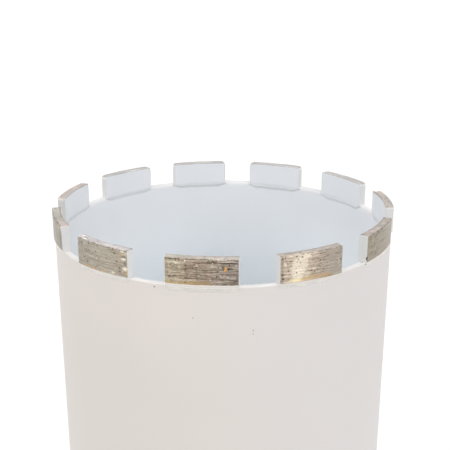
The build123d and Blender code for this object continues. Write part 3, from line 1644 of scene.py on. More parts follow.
        coarse = self.ripple(Seed.COARSE, index, 2.4, 9.0)(s, t)
        jagged = self.ripple(Seed.JAGGED, index, 0.8, 9.0)(s, t)
        outer_edge = smooth(0.15, 0.5, np.cos(tilt)) * smooth(0.15, 0.5, np.sin(tilt)) * smooth(1.0, 2.6, t)
        chipped = np.abs(coarse) * self.coarse_chip + np.abs(jagged) * self.fine_chip
        depth = stain.depth + outer_edge * chipped
        # darker colour in a jagged line under the top's outer edge and along its inner edge
        near_edge = smooth(self.height - 0.34, self.height - 0.2, h) * (1.0 - smooth(0.3, 0.5, inset))
        edge_dark_line = near_edge * smooth(0.2, 1.1, 0.6 * coarse + 0.8 * jagged)
        back_line = on_top * (1.0 - smooth(0.3, 0.65, t + 0.15 * jagged)) * smooth(-0.6, 0.3, coarse + jagged)
        stain.lay(edge_dark_line * smooth(2.0, 2.8, t), PIT, 0.75 * look.grime)
        stain.lay(near_edge * (1.0 - smooth(0.3, 0.8, t)), HOLE, 0.6 * look.grime)
        stain.lay(back_line, HOLE, 0.75 * look.grime)

        level = np.cos(tilt)
        s, t, h = s - level * normal_s * depth, t - level * normal_t * depth, h - np.sin(tilt) * depth
        s, h = self.round_ends(s, h, look)
        t, h = self.wear(s, t, h, look, index)

        shift = index * 37.0
        from_end = self.length / 2.0 + look.longer(s) - np.abs(s)
        from_inside = np.where(normal_t < -0.05, -0.3, t - 0.08)
        from_inside = np.maximum(from_inside, h - (self.height - look.dirty_band))
        flat_end = np.abs(normal_s) * level
        from_foot = h - look.lip_at(0.5 + s / self.length)
        bare = np.minimum(np.minimum(from_foot, from_end - self.bare_margin), from_inside)
        # painted reflection: faces turned up take the top's colour, over the ground metal's own
        crest = smooth(0.75, 0.98, np.sin(tilt)) * 0.85 + 0.0 * s
        layers = {
            "place": np.stack([s + shift, t + 0.13 * shift, h], axis=-1),
            "bare": np.maximum(bare - 0.3 * smooth(0.8, 1.0, flat_end), chips - 0.5),
            "side": smooth(-0.3, 0.3, normal_t + 0.0 * s) * (1.0 - flat_end) + 0.5 * flat_end,
            # painted shade on the end faces
            "dull": look.ends_shade_share * smooth(0.3, 0.9, flat_end),
            "gold": self.strip_layer(look, s, h, on_outer, index),
            "crest": with_share(np.array(look.top), crest),
            "tint": stain.layer(),
            # own tone and painted reflection
            "tone": look.tone_with_sheen_at(s),
        }
        return Patch(self.bend(s, t, self.foot_z + h, index), around=True, along=False, layers=layers)

    def wear(self, s: Array, t: Array, h: Array, look: SegmentLook, index: int) -> tuple[Array, Array]:
        """Cuts the worn facet: a point past the plane between the facet's two legs moves back on to it.

        Args:
            s: distance along the segment.
            t: distance outwards from its inner face.
            h: height above its foot.
            look: says where the facet starts and stops.
            index: number of the segment.

        Returns:
            The last two coordinates, worn.
        """
        ends = smooth(look.worn_from, look.worn_from + 1.6, s), smooth(look.worn_to - 1.2, look.worn_to, s)
        worn = ends[0] * (1.0 - ends[1])
        jag = 1.0 + 0.12 * self.ripple(Seed.FACET, index, 1.6)(s)
        leg_t, leg_h = 0.06 + 1.3 * worn * jag, 0.06 + 0.9 * worn * jag
        over = (t - (self.thickness - leg_t)) / leg_t + (h - (self.height - leg_h)) / leg_h - 1.0
        over = np.maximum(over, 0.0) * (worn > 0.01)
        length2 = 1.0 / leg_t**2 + 1.0 / leg_h**2
        return t - over / leg_t / length2, h - over / leg_h / length2

    def round_ends(self, s: Array, h: Array, look: SegmentLook) -> tuple[Array, Array]:
        """Rounds the two top corners that a segment shows from outside.

        In the square of side end_round at such a corner, with shares u and v of its side, a point moves to
        u sqrt(1 - v v / 2), v sqrt(1 - u u / 2), which carries the square on to a quarter disc.

        Args:
            s: distance along the segment.
            h: height above its foot.
            look: gives the radius and the ends' places.

        Returns:
            The two coordinates, rounded.
        """
        size = look.end_round
        half = self.length / 2.0 + look.longer(s)
        u = np.clip((np.abs(s) - (half - size)) / size, 0.0, 1.0)
        v = np.clip((h - (self.height - size)) / size, 0.0, 1.0)
        less_u, less_v = u * (1.0 - np.sqrt(1.0 - v * v / 2.0)), v * (1.0 - np.sqrt(1.0 - u * u / 2.0))
        return s - np.sign(s) * less_u * size, h - less_v * size

    def strip_layer(self, look: SegmentLook, s: Array, h: Array, on: Array, index: int) -> Array:
        """Colour and share of the braze that wetted up a segment's outer face.

        Args:
            look: holds the strip.
            s: distance along the segment.
            h: height above its foot.
            on: 1 on the outer face.
            index: number of the segment.

        Returns:
            Red, green, blue and share at each point.
        """
        strip = look.strip
        if strip is None:
            return with_share(np.zeros(3), np.zeros(s.shape))
        wavy = 0.85 + 0.22 * self.ripple(Seed.STRIP, index, 3.5)(s)
        upper = look.lip_at(0.5 + s / self.length) + strip.height * wavy
        share = smooth(strip.start, strip.start + 1.5, s) * (1.0 - smooth(strip.stop - 3.0, strip.stop, s))
        share = share * (1.0 - smooth(-strip.softness, 0.4 * strip.softness, h - upper)) * 0.9
        colour = blend(strip.left, strip.right, smooth(strip.start, strip.stop, s))
        return with_share(colour, share * on)

    def seam_patches(self, index: int) -> list[Patch]:
        """Braze under one segment: a thin layer with a hollow fillet in the corner under each overhang.

        Under the outer overhang the seam hangs below the rim's plane by the fillet's depth times a power of
        the share of the way from the segment's face to the tube's. Under the inner one it follows an S curve.
        Past the segment's ends it narrows and its upper side falls to the rim.

        Args:
            index: number of the segment.

        Returns:
            The top, the under side and the band that joins them.
        """
        look = self.looks[index]
        inner_span, rim_out = self.tube_inner - self.inner_radius, self.tube_outer - self.inner_radius
        down = np.linspace(0.0, 1.0, 10)
        deep_in, deep_out = inner_span * smooth(0.0, 1.0, down), np.linspace(rim_out, self.thickness, 10)
        over_rim = np.linspace(inner_span + 0.1, rim_out - 0.1, 4)
        deep = np.concatenate([deep_in, over_rim, deep_out])[:, None]
        share_in = np.concatenate([down, 1.0 + 0.0 * over_rim, 1.0 + 0.0 * deep_out])[:, None]
        ends = -self.length / 2.0 - look.longer_left, self.length / 2.0 + look.longer_right
        s = np.linspace(ends[0] - self.fillet_end, ends[1] + self.fillet_end, self.seam_steps)[None, :]
        past = np.maximum(ends[0] - s, s - ends[1])
        lumpy = 1.0 + 0.14 * self.ripple(Seed.LUMPS, index, 4.0)(s)
        lumpy = lumpy + 0.08 * self.ripple(Seed.SMALL_LUMPS, index, 1.2)(s)
        share_out = np.clip((self.thickness - deep) / (self.thickness - rim_out), 0.0, 1.0)
        outside = deep > self.thickness / 2.0
        fade = 1.0 - smooth(-3.5, self.fillet_end, past)
        hang_in = (look.seam_drop + self.fillet_inside * share_in) * fade
        hang = np.where(outside, self.fillet_outside * share_out**1.3, hang_in)
        lumpy = np.clip(np.where(outside, lumpy, 1.0 + 0.3 * (lumpy - 1.0)), 0.6, 1.25)
        under = self.rim_z - 0.02 - hang * lumpy * (1.0 - smooth(-1.2, self.fillet_end, past))
        fall = np.clip(past / self.fillet_end, 0.0, 1.0)
        upper = self.foot_z - (self.foot_z - self.rim_z) * fall**0.6 + 0.0 * under
        narrow = 1.0 - 0.65 * smooth(-0.1, self.fillet_end, past)
        grid_s, grid_t = s + 0.0 * under, rim_out / 2.0 + (deep - rim_out / 2.0) * narrow
        grids = [self.bend(grid_s, grid_t, level, index) for level in (upper, under)]
        borders = [
            np.concatenate([grid[0], grid[1:, -1], grid[-1, -2::-1], grid[-2:0:-1, 0]]) for grid in grids
        ]
        shares = np.array([0.0, 0.08, 0.92, 1.0])[:, None, None]
        band = Patch(borders[0] + (borders[1] - borders[0]) * shares)
        return [*(Patch(grid, around=False) for grid in grids), band]

    def make(self, metal: GroundMetal, fillet: FilletPaint, studio: Studio) -> None:
        """Builds and dresses every segment and seam.

        Args:
            metal: the segments' finish.
            fillet: the seams' finish.
            studio: places the marks.
        """
        segment_finish = metal.material("ground_segment")
        seam_finish = fillet.material("braze_fillet")
        for index in range(self.count):
            number = f"{index + 1:02d}"
            Piece("segment_" + number, Slot.SEGMENT, [self.segment_patch(index, studio)]).make(segment_finish)
            Piece("braze_seam_" + number, Slot.BRAZE, self.seam_patches(index)).make(seam_finish)


# Spindle end


@dataclass
class SpindleEnd:
    """Back plate, threaded hub and the fillet weld between them."""

    barrel_outer: float = 65.4
    barrel_inner: float = 63.1
    plate_bottom: float = 30.0
    plate_top: float = 36.0
    register_depth: float = 4.0
    register_clearance: float = 0.1
    weld_vee: float = 1.6
    hub_radius: float = 22.5
    hub_chamfer: float = 1.5
    spigot_radius: float = 18.0
    spigot_clearance: float = 0.1
    water_way: float = 10.0
    thread_minor: float = 14.1
    thread_major: float = 15.875
    thread_mouth: float = 16.3
    thread_pitch: float = 25.4 / 7.0
    thread_end: float = 27.8
    flat_half: float = 20.5
    flat_top: float = 16.0
    weld_leg: float = 5.0
    weld_step: float = 2.0

    def make_plate(self, finish: PlatePaint) -> None:
        """Turns the plate's outline with softened edges.

        Args:
            finish: the finish.
        """
        hole = self.spigot_radius + self.spigot_clearance
        vee = self.barrel_outer - self.weld_vee
        register = self.barrel_inner - self.register_clearance
        top = self.plate_top + self.register_depth
        outline = rounded_loop(
            (
                (hole, self.plate_bottom, 0.2),
                (self.barrel_outer, self.plate_bottom, 0.6),
                (self.barrel_outer, self.plate_top - self.weld_vee, 0.1),
                (vee, self.plate_top, 0.05),
                (register, self.plate_top, 0.05),
                (register, top, 0.5),
                (hole, top, 0.3),
            ),
            4.0,
        )
        Piece("back_plate", Slot.PLATE, [lathe(outline, 360)]).make(finish.material("plate_paint"))

    def make_hub(self, finish: TurnedSteel) -> None:
        """Turned hub with two milled flats and a right-hand screw thread cut in its bore.

        Outside, the radius is the smaller of the turned radius and flat_half / |cos(angle)| below the top
        of the flats. In the bore the radius is the minor radius plus the depth of a 60 degree groove whose
        middle climbs one pitch a turn, or the mouth's cone where that is wider.

        Args:
            finish: the finish.
        """
        columns = 168
        angle = round_angles(columns)
        top = self.plate_top + self.register_depth
        outside = rounded_loop(
            (
                (self.thread_mouth, 0.0, 0.0),
                (self.hub_radius - self.hub_chamfer, 0.0, 0.15),
                (self.hub_radius, self.hub_chamfer, 0.15),
                (self.hub_radius, self.plate_bottom, 0.05),
                (self.spigot_radius, self.plate_bottom, 0.05),
                (self.spigot_radius, top, 0.5),
                (self.water_way, top, 0.5),
                (self.water_way, self.plate_bottom, 0.2),
                (self.thread_minor, self.plate_bottom, 0.2),
                (self.thread_minor, self.thread_end, 0.0),
            ),
            1.0,
        )
        thread_start = (outside[:, 1] == self.thread_end) & (outside[:, 0] == self.thread_minor)
        outside = outside[: np.argmax(thread_start) + 1]
        split = int(np.argmax((outside[:, 1] > self.flat_top) & (outside[:, 0] > self.hub_radius - 0.01)))
        ledge = np.array([[self.hub_radius, self.flat_top - 0.02], [self.hub_radius, self.flat_top + 0.02]])
        outside = np.concatenate([outside[:split], ledge, outside[split:]])
        body = np.repeat(outside[:, None, :], columns, axis=1)
        flat = self.flat_half / np.maximum(np.abs(np.cos(angle)), 1e-6)
        milled = (body[..., 1] < self.flat_top) & (body[..., 0] > self.thread_mouth + 0.5)
        body[..., 0] = np.where(milled, np.minimum(body[..., 0], flat), body[..., 0])

        height = np.linspace(self.thread_end, 0.0, 200)[1:-1, None] + 0.0 * angle
        turn = (height / self.thread_pitch - angle / (2.0 * np.pi)) % 1.0
        off = np.abs(turn - 0.5) * self.thread_pitch
        full = self.thread_major - self.thread_minor
        root_flat, flank = self.thread_pitch / 16.0, full * math.tan(math.radians(30.0))
        groove = full * (1.0 - np.clip((off - root_flat) / flank, 0.0, 1.0))
        groove *= 1.0 - smooth(self.thread_end - 2.5, self.thread_end - 0.3, height)
        cone = self.thread_mouth - height
        bore = np.maximum(self.thread_minor + groove, cone)
        threaded = np.stack([bore, height], axis=-1)
        patch = lathe(np.concatenate([body, threaded]), columns)
        Piece("threaded_hub", Slot.HUB, [patch]).make(finish.material("hub_steel"))

    def make_weld(self, finish: WeldPaint) -> None:
        """Fillet weld round the hub's root, slightly bulged, with ripples like leaning coins.

        Args:
            finish: the finish.
        """
        ripples = round(2.0 * math.pi * (self.hub_radius + 2.5) / self.weld_step)
        along = np.linspace(0.0, 1.0, 15)[:, None]
        arc = 4.0 * along * (1.0 - along)
        angle, saw = leaning_coins(ripples, 10, -0.7 * (2.0 * along - 1.0) ** 2)
        wander = Ripple(43, (18.0, 18.0)).on_circle(25.0, angle)[None, :]
        proud = arc * (0.5 - 0.35 * saw + 0.08 * np.clip(wander, -1.5, 1.5))
        leg = self.weld_leg - 0.15 + 0.12 * np.clip(wander, -1.2, 1.2)
        radius = self.hub_radius + leg * along + proud * math.sqrt(0.5)
        height = self.plate_bottom - leg * (1.0 - along) - proud * math.sqrt(0.5)
        patch = bead((self.hub_radius, self.plate_bottom), radius, height)
        Piece("hub_weld", Slot.WELD, [patch]).make(finish.material("weld_paint_hub"))


# Spots seen in the photograph, by pixel, and the look of each segment


DOT = srgb(68, 59, 50)
SOFT_DOT = srgb(104, 94, 84)
CREAM = srgb(243, 235, 218)
PINK = srgb(206, 166, 172)
# the far segments' pale top: own colour with painted reflection
GREY_TOP = srgb(184, 180, 178)
# colour factor of the far segments' metal: own tone and painted reflection
BACK_TONES_WITH_SHEEN = ((0.0, (1.55, 1.76, 2.1)),)

FRONT_DOTS = Marks(DOT, 0.85, (
    (204.9, 260.0, 0.5, 0.2), (178.8, 260.0, 0.25, 0.35), (175.5, 260.0, 0.2, 0.3),
    (170.4, 258.6, 0.7, 0.18), (208.6, 260.8, 0.25, 0.25), (213.0, 261.6, 0.2, 0.3),
    (185.5, 265.3, 0.35, 0.3), (196.4, 267.6, 0.4, 0.3), (192.7, 267.5, 0.2, 0.3),
    (185.2, 270.3, 0.4, 0.18), (169.3, 276.3, 0.3, 0.35), (173.5, 275.4, 0.2, 0.25),
    (196.4, 274.4, 0.3, 0.2), (199.6, 274.7, 0.2, 0.2), (185.4, 277.8, 0.3, 0.25),
    (223.0, 267.8, 0.45, 0.35), (229.4, 265.5, 0.3, 0.35), (228.6, 269.7, 0.18, 0.6),
    (217.7, 271.9, 0.5, 0.18), (216.8, 276.9, 0.3, 0.5), (219.3, 277.5, 0.3, 0.2),
    (222.4, 280.0, 0.7, 0.18), (229.5, 263.5, 3.4, 0.24),
), dent=0.05)
FRONT_TOP_DOTS = Marks(srgb(95, 85, 75), 0.85, (
    (224.5, 258.6, 0.5, 0.2, -28.0), (227.6, 259.2, 0.5, 0.2), (231.2, 259.2, 0.6, 0.2),
    (234.2, 259.0, 0.4, 0.2, 15.0), (237.2, 259.3, 0.7, 0.2, -12.0), (214.6, 258.0, 0.3, 0.3),
), Face.TOP)
# painted glints: small bright highlights on the front segment's ground face
FRONT_PAINTED_GLINTS = Marks(srgb(214, 205, 190), 0.85, (
    (198.9, 276.0, 0.35, 0.22), (227.4, 277.5, 0.7, 0.18), (210.2, 280.3, 0.35, 0.22),
    (196.8, 266.6, 0.5, 0.18),
))
FRONT_FACET = Marks(srgb(204, 195, 185), 0.8, ((228.5, 262.0, 3.2, 0.3),))
FRONT_TOP_FACET = Marks(srgb(204, 195, 185), 0.7, ((231.0, 260.2, 3.0, 0.5),), Face.TOP)
FRONT_RIGHT_EDGE = Marks(srgb(118, 104, 104), 0.6, ((237.6, 279.0, 0.5, 2.0),))
FRONT_GLINT = Marks(srgb(250, 245, 235), 1.0, ((184.7, 260.8, 0.32, 0.3),))
FRONT_ORANGE = Marks(srgb(232, 166, 84), 0.92, ((225.6, 269.5, 0.42, 0.95, -18.0),))
FRONT_PINK = Marks(srgb(225, 140, 145), 0.9, ((217.7, 257.7, 0.56, 0.5),), Face.TOP)
FRONT_RED = Marks(srgb(200, 120, 100), 0.7, ((217.0, 263.7, 0.35, 0.2),))

RIGHT_DOTS = Marks(DOT, 0.85, (
    (297.3, 253.5, 0.25, 0.25), (300.5, 253.6, 0.25, 0.25), (304.0, 253.9, 0.35, 0.3),
    (297.0, 256.6, 0.45, 0.3), (302.6, 257.1, 0.4, 0.3), (298.4, 259.6, 0.3, 0.25),
    (297.3, 262.4, 0.25, 0.25), (300.4, 262.8, 0.25, 0.25), (311.3, 254.4, 0.25, 0.25),
    (308.4, 251.8, 0.3, 0.25), (320.3, 260.0, 0.3, 0.3), (319.5, 265.6, 0.2, 0.2), (311.6, 270.2, 0.3, 0.3),
    (314.5, 271.2, 0.25, 0.25), (296.7, 272.9, 0.3, 0.3), (288.6, 271.6, 0.3, 0.3),
    (288.0, 264.4, 0.2, 0.2), (282.7, 259.5, 0.35, 0.35), (285.7, 258.6, 0.3, 0.3),
    (282.8, 275.5, 0.4, 0.4), (283.0, 279.3, 0.4, 0.4),
), dent=0.05)
RIGHT_SOFT = Marks(SOFT_DOT, 0.7, (
    (323.8, 268.8, 0.35, 0.35), (337.5, 260.0, 0.4, 0.3), (340.8, 258.3, 0.4, 0.4),
    (326.2, 256.0, 1.2, 0.2, 15.0), (336.7, 252.8, 0.8, 0.2), (331.4, 248.5, 0.5, 0.2),
    (336.4, 248.0, 0.5, 0.25),
))
RIGHT_TOP_DOTS = Marks(SOFT_DOT, 0.8, (
    (314.8, 248.5, 0.3, 0.3), (331.4, 244.3, 0.5, 0.25), (300.5, 252.0, 0.4, 0.3),
    (322.0, 246.9, 0.5, 0.25),
), Face.TOP)
RIGHT_TOP_LIGHT = Marks(srgb(222, 210, 196), 0.6, (
    (306.5, 251.8, 1.4, 0.3), (318.0, 249.2, 2.0, 0.35), (328.0, 247.2, 2.4, 0.4),
), Face.TOP)
RIGHT_TOP_BROWN = Marks(srgb(168, 148, 128), 0.5, (
    (290.0, 253.6, 2.4, 0.7), (319.0, 246.0, 2.6, 0.6), (334.5, 243.9, 1.4, 0.6),
), Face.TOP)
# partly a freshly ground patch, partly painted highlight of the lamp's streak
RIGHT_CREAM_AND_HIGHLIGHT = Marks(srgb(252, 243, 226), 0.42, (
    (300.0, 265.0, 3.0, 4.2), (307.5, 255.5, 2.0, 1.2), (299.4, 264.0, 2.6, 2.0), (298.0, 268.0, 2.6, 1.4),
    (297.0, 271.5, 2.2, 0.8), (298.4, 276.4, 2.5, 1.1),
))
# braze at the foot, brightened by painted highlight
RIGHT_YELLOW_AND_HIGHLIGHT = Marks(srgb(250, 238, 190), 0.5, ((295.6, 279.9, 2.2, 0.55),))
RIGHT_GOLD = Marks(srgb(184, 156, 118), 0.7, (
    (306.0, 278.4, 1.9, 0.7), (312.5, 276.7, 2.2, 0.8), (319.5, 275.1, 2.2, 0.65),
    (327.0, 273.8, 2.2, 0.45),
))
RIGHT_LEFT_EDGE = Marks(srgb(128, 112, 98), 0.55, ((282.4, 264.0, 0.55, 3.4), (282.4, 277.0, 0.6, 2.6)))

SIDE_TOP_DOTS = Marks(srgb(112, 102, 94), 0.85, (
    (370.8, 237.0, 0.4, 0.3), (376.0, 234.5, 0.4, 0.3), (378.8, 230.7, 0.4, 0.3), (383.5, 227.9, 0.4, 0.3),
    (387.3, 225.5, 0.4, 0.3), (390.0, 223.2, 0.4, 0.3), (384.2, 218.0, 0.4, 0.4), (378.1, 223.2, 0.35, 0.3),
    (361.4, 235.2, 0.6, 0.5),
), Face.TOP)
SIDE_TOP_PINK = Marks(srgb(192, 166, 168), 0.7, (
    (370.4, 231.6, 0.6, 0.5), (369.2, 234.0, 0.7, 0.4), (372.4, 231.4, 1.3, 0.3), (370.2, 234.9, 0.9, 0.3),
), Face.TOP)
SIDE_TOP_OLIVE = Marks(srgb(150, 142, 112), 0.8, ((386.8, 219.9, 0.6, 0.5),), Face.TOP)
SIDE_DOTS = Marks(SOFT_DOT, 0.5, (
    (371.8, 247.6, 0.9, 0.5), (375.5, 252.8, 1.0, 0.5), (383.0, 240.0, 1.2, 0.4), (370.7, 237.4, 0.5, 0.5),
))
SIDE_TOP_DARK = Marks(srgb(126, 120, 110), 0.6, (
    (384.6, 218.6, 0.7, 0.5), (379.4, 226.0, 0.9, 0.35), (371.0, 232.9, 1.2, 0.3), (388.0, 222.6, 0.6, 0.6),
    (362.4, 234.4, 1.1, 0.8), (373.2, 233.4, 1.5, 0.35), (376.3, 234.2, 0.8, 0.5), (381.5, 229.6, 1.8, 0.3),
    (386.5, 226.0, 1.0, 0.35),
), Face.TOP)
SIDE_TOP_LIGHT = Marks(srgb(204, 194, 185), 0.6, (
    (378.0, 228.0, 2.4, 0.55), (383.8, 223.2, 1.6, 0.7), (372.4, 230.9, 1.6, 0.35),
    (369.0, 235.4, 0.8, 0.25),
), Face.TOP)
SIDE_TOP_BROWN = Marks(srgb(160, 148, 140), 0.5, (
    (369.0, 233.4, 2.4, 0.8), (375.0, 229.0, 1.6, 0.6),
), Face.TOP)
SIDE_CHIP = Marks(srgb(84, 70, 74), 1.0, ((367.3, 258.8, 0.34, 1.0),), dent=0.12)
SIDE_FACET = Marks(srgb(184, 176, 168), 0.75, ((389.2, 223.4, 2.6, 0.75), (385.4, 227.0, 2.4, 0.45)))
SIDE_BLOTS = Marks(srgb(118, 108, 98), 0.5, (
    (371.2, 238.6, 0.7, 0.7), (375.8, 236.6, 0.8, 0.5), (377.6, 233.8, 0.8, 0.5), (372.8, 246.6, 1.1, 0.3),
    (377.4, 247.6, 0.8, 0.4), (372.0, 251.8, 0.5, 0.6), (374.8, 244.0, 0.4, 0.6), (376.4, 235.4, 0.7, 0.45),
    (379.4, 232.6, 0.7, 0.4), (370.4, 240.4, 0.5, 0.7), (385.6, 229.4, 0.8, 0.3),
))
SIDE_BRIGHT = Marks(srgb(190, 184, 174), 0.6, (
    (375.2, 248.6, 0.9, 0.25), (373.4, 240.4, 0.5, 0.4), (379.0, 238.4, 0.5, 0.4),
))

LEFT_TOP_CREAM = Marks(srgb(248, 243, 234), 0.9, (
    (84.6, 235.7, 2.0, 0.4), (84.8, 238.3, 1.2, 0.4), (96.8, 242.8, 0.8, 0.3),
), Face.TOP)
LEFT_TOP_PINK = Marks(PINK, 0.7, (
    (92.7, 239.7, 0.6, 0.4), (111.9, 246.9, 0.7, 0.4), (123.6, 247.2, 0.7, 0.5), (125.8, 250.0, 0.5, 0.4),
), Face.TOP)
LEFT_TOP_DOTS = Marks(SOFT_DOT, 0.85, (
    (86.0, 236.8, 1.1, 0.36), (87.5, 238.5, 0.3, 0.3), (128.2, 247.9, 0.4, 0.4), (130.6, 249.0, 0.5, 0.4),
), Face.TOP)
LEFT_DOTS = Marks(DOT, 0.75, (
    (88.4, 243.2, 0.35, 0.35), (89.1, 250.2, 0.6, 0.25), (87.5, 260.9, 0.4, 0.4), (79.8, 241.5, 0.4, 0.4),
    (97.0, 245.4, 0.3, 0.3), (105.9, 258.2, 0.3, 0.3), (116.5, 261.4, 0.35, 0.35), (119.4, 268.2, 0.4, 0.4),
    (112.2, 249.2, 0.3, 0.3), (123.3, 257.2, 1.0, 0.3), (81.8, 242.6, 0.3, 0.8), (86.6, 249.6, 0.25, 0.6),
    (95.4, 251.4, 0.25, 0.4), (84.2, 256.6, 0.7, 0.2), (113.8, 253.4, 0.25, 0.4),
), dent=0.05)
# bright chips, partly painted highlight of the light from the left
LEFT_CHIPS_AND_HIGHLIGHT = Marks(CREAM, 0.65, (
    (121.8, 251.9, 1.0, 0.3), (123.4, 259.3, 1.1, 0.5), (125.0, 269.3, 1.2, 0.8), (113.0, 272.5, 0.9, 0.3),
))
LEFT_GREEN_GREY = Marks(srgb(120, 116, 110), 0.8, ((124.9, 264.0, 0.8, 0.9),))
LEFT_GOLD = Marks(srgb(200, 168, 98), 0.85, ((121.8, 254.2, 0.45, 0.35), (127.0, 272.8, 0.3, 1.2)))
LEFT_RED = Marks(srgb(205, 120, 80), 0.7, ((95.3, 267.8, 0.5, 0.3),))

FAR_RIGHT_TOP_DOTS = Marks(SOFT_DOT, 0.8, (
    (387.4, 206.4, 0.7, 0.5), (385.5, 198.5, 0.5, 0.4), (383.2, 201.8, 0.5, 0.3), (388.6, 201.2, 0.6, 0.3),
), Face.TOP)
FAR_RIGHT_TOP_WHITE = Marks(srgb(226, 226, 226), 0.8, ((374.8, 191.3, 1.4, 2.0),), Face.TOP)
FAR_RIGHT_TOP_RUST = Marks(srgb(200, 164, 140), 0.8, ((379.3, 191.8, 1.0, 0.8),), Face.TOP)

FAR_LEFT_TOP_DOTS = Marks(SOFT_DOT, 0.8, (
    (55.3, 208.3, 0.5, 0.4), (58.6, 207.1, 0.4, 0.4), (51.7, 211.9, 0.4, 0.3), (52.9, 215.4, 0.4, 0.3),
    (56.3, 218.8, 0.5, 0.4), (59.6, 218.5, 0.4, 0.4), (63.2, 220.4, 0.4, 0.4), (60.9, 216.5, 0.4, 0.4),
    (57.5, 222.3, 0.4, 0.3),
), Face.TOP)
FAR_LEFT_TOP_PINK = Marks(srgb(203, 160, 170), 0.85, (
    (59.2, 222.9, 1.0, 0.35), (63.2, 224.2, 1.2, 0.45), (66.6, 224.8, 0.9, 0.5),
), Face.TOP)
FAR_LEFT_OLIVE = Marks(srgb(190, 174, 136), 0.85, ((58.4, 227.6, 1.1, 1.2), (57.6, 225.4, 0.8, 0.7)))
FAR_LEFT_WHITE = Marks(srgb(238, 229, 226), 0.85, ((60.5, 227.2, 0.5, 1.0), (60.8, 230.2, 0.3, 0.8)))
FAR_LEFT_DARK_EDGE = Marks(srgb(116, 117, 112), 0.8, (
    (59.8, 233.0, 0.7, 1.0), (60.3, 238.5, 0.7, 1.4), (60.8, 243.5, 0.6, 1.3),
))


def back_look(
    longer_left: float, longer_right: float, seam_drop: float, top: Colour = GREY_TOP, ends_shade_share: float = 0.3
) -> SegmentLook:
    """A segment on the far side, seen from inside: pale worn top, lightened by painted reflection, round top
    corners and inner edges.

    Args:
        longer_left: how much its left end reaches past the usual one.
        longer_right: the same at its right end.
        seam_drop: how far the braze carries its inner face down.
        top: colour of its top.
        ends_shade_share: how far its end faces' spray is darkened as painted shade.

    Returns:
        The look.
    """
    return SegmentLook(
        tones_with_sheen=BACK_TONES_WITH_SHEEN,
        calm=0.6,
        right_calm=0.6,
        top=top,
        grime=0.0,
        longer_left=longer_left,
        longer_right=longer_right,
        end_round=1.5,
        inner_corner=1.1,
        seam_drop=seam_drop,
        ends_shade_share=ends_shade_share,
        dirty_band=0.5,
        cell=0.22,
    )


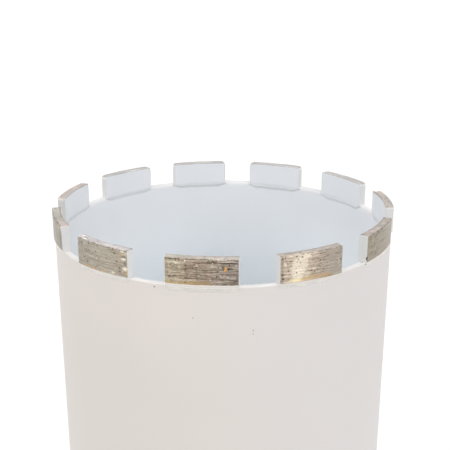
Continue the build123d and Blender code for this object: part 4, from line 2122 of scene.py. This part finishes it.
LOOKS: dict[int, SegmentLook] = {
    # segment_01: lighter to the left and darker to the right, its own tone and painted reflection
    0: SegmentLook(
        tones_with_sheen=(
            (-7.4, (1.23, 1.25, 1.17)),
            (-5.0, (0.97, 0.92, 0.86)),
            (0.0, (1.0, 0.94, 0.91)),
            (5.0, (0.94, 0.93, 0.93)),
            (10.0, (0.76, 0.75, 0.77)),
        ),
        top=srgb(198, 190, 181),
        grime=0.85,
        lip=0.86,
        right_lip=0.9,
        strip=Strip(-13.5, 4.5, 1.35, srgb(188, 161, 110), srgb(160, 136, 104)),
        worn_from=3.4,
        worn_to=13.5,
        marks=(
            FRONT_FACET, FRONT_TOP_FACET, FRONT_RIGHT_EDGE, FRONT_DOTS, FRONT_TOP_DOTS, FRONT_PAINTED_GLINTS,
            FRONT_GLINT, FRONT_ORANGE, FRONT_PINK, FRONT_RED,
        ),
    ),
    # segment_02 shows a lamp's streak: its lighter tones, its cream and yellow patches and the light left end
    # of its braze strip are painted highlight over its own metal and braze
    1: SegmentLook(
        tones_with_sheen=(
            (-9.0, (1.42, 1.42, 1.41)),
            (-3.0, (1.48, 1.49, 1.45)),
            (0.5, (1.36, 1.36, 1.37)),
            (4.0, (1.13, 1.15, 1.19)),
            (9.0, (1.12, 1.18, 1.24)),
        ),
        right_calm=0.7,
        top=srgb(184, 174, 166),
        grime=0.7,
        ends_shade_share=0.25,
        lip=0.34,
        right_lip=0.0,
        strip=Strip(-9.5, 9.0, 1.4, srgb(226, 208, 172), srgb(158, 136, 110), 1.0),
        marks=(
            RIGHT_CREAM_AND_HIGHLIGHT, RIGHT_YELLOW_AND_HIGHLIGHT, RIGHT_GOLD, RIGHT_LEFT_EDGE, RIGHT_DOTS, RIGHT_SOFT, RIGHT_TOP_LIGHT,
            RIGHT_TOP_DOTS, RIGHT_TOP_BROWN,
        ),
    ),
    2: SegmentLook(
        tones_with_sheen=((0.0, (1.05, 1.1, 1.1)),),
        calm=0.7,
        right_calm=0.8,
        top=srgb(176, 167, 161),
        ends_shade_share=0.5,
        lip=0.2,
        right_lip=0.3,
        marks=(
            SIDE_DOTS, SIDE_BLOTS, SIDE_BRIGHT, SIDE_FACET, SIDE_CHIP, SIDE_TOP_LIGHT, SIDE_TOP_BROWN,
            SIDE_TOP_DARK, SIDE_TOP_DOTS, SIDE_TOP_PINK, SIDE_TOP_OLIVE,
        ),
    ),
    3: SegmentLook(
        tones_with_sheen=((0.0, (1.5, 1.6, 1.7)),),
        calm=0.5,
        right_calm=0.5,
        top=srgb(178, 170, 164),
        grime=0.2,
        inner_corner=0.4,
        end_round=0.6,
        marks=(FAR_RIGHT_TOP_WHITE, FAR_RIGHT_TOP_RUST, FAR_RIGHT_TOP_DOTS),
    ),
    4: back_look(1.0, 0.35, 0.6),
    5: back_look(0.3, 0.36, 0.55),
    6: back_look(0.36, 0.1, 0.2),
    7: back_look(0.75, 0.55, 0.1),
    8: back_look(0.0, 0.6, 0.1, srgb(190, 175, 168), 0.95),
    9: SegmentLook(
        tones_with_sheen=((-2.0, (1.07, 1.13, 1.17)), (8.0, (0.99, 1.05, 1.1))),
        calm=0.6,
        right_calm=0.6,
        top=srgb(180, 175, 167),
        marks=(FAR_LEFT_OLIVE, FAR_LEFT_WHITE, FAR_LEFT_DARK_EDGE, FAR_LEFT_TOP_DOTS, FAR_LEFT_TOP_PINK),
    ),
    10: SegmentLook(
        tones_with_sheen=((4.0, (1.16, 1.25, 1.29)), (7.0, (1.12, 1.17, 1.18))),
        calm=0.5,
        right_calm=0.5,
        top=srgb(201, 196, 197),
        ends_shade_share=0.0,
        lip=0.08,
        right_lip=0.36,
        strip=Strip(-9.5, 4.0, 0.8, srgb(188, 164, 124), srgb(190, 170, 138)),
        marks=(
            LEFT_CHIPS_AND_HIGHLIGHT, LEFT_GREEN_GREY, LEFT_GOLD, LEFT_RED, LEFT_DOTS, LEFT_TOP_CREAM, LEFT_TOP_PINK,
            LEFT_TOP_DOTS,
        ),
    ),
}


def main() -> None:
    """Builds the studio, the barrel, the crown and the spindle end."""
    logging.basicConfig(level=logging.INFO, format="%(name)s: %(message)s")
    studio = Studio()
    studio.make()
    barrel = Barrel()
    paint = SprayPaint(barrel.specks(studio))
    weld = WeldPaint(paint)
    barrel.make_tube(paint)
    barrel.make_weld(weld)
    Crown(LOOKS).make(GroundMetal(paint), FilletPaint(paint), studio)
    spindle = SpindleEnd()
    spindle.make_plate(PlatePaint(paint))
    spindle.make_hub(TurnedSteel())
    spindle.make_weld(weld)


if __name__ == "__main__":
    main()
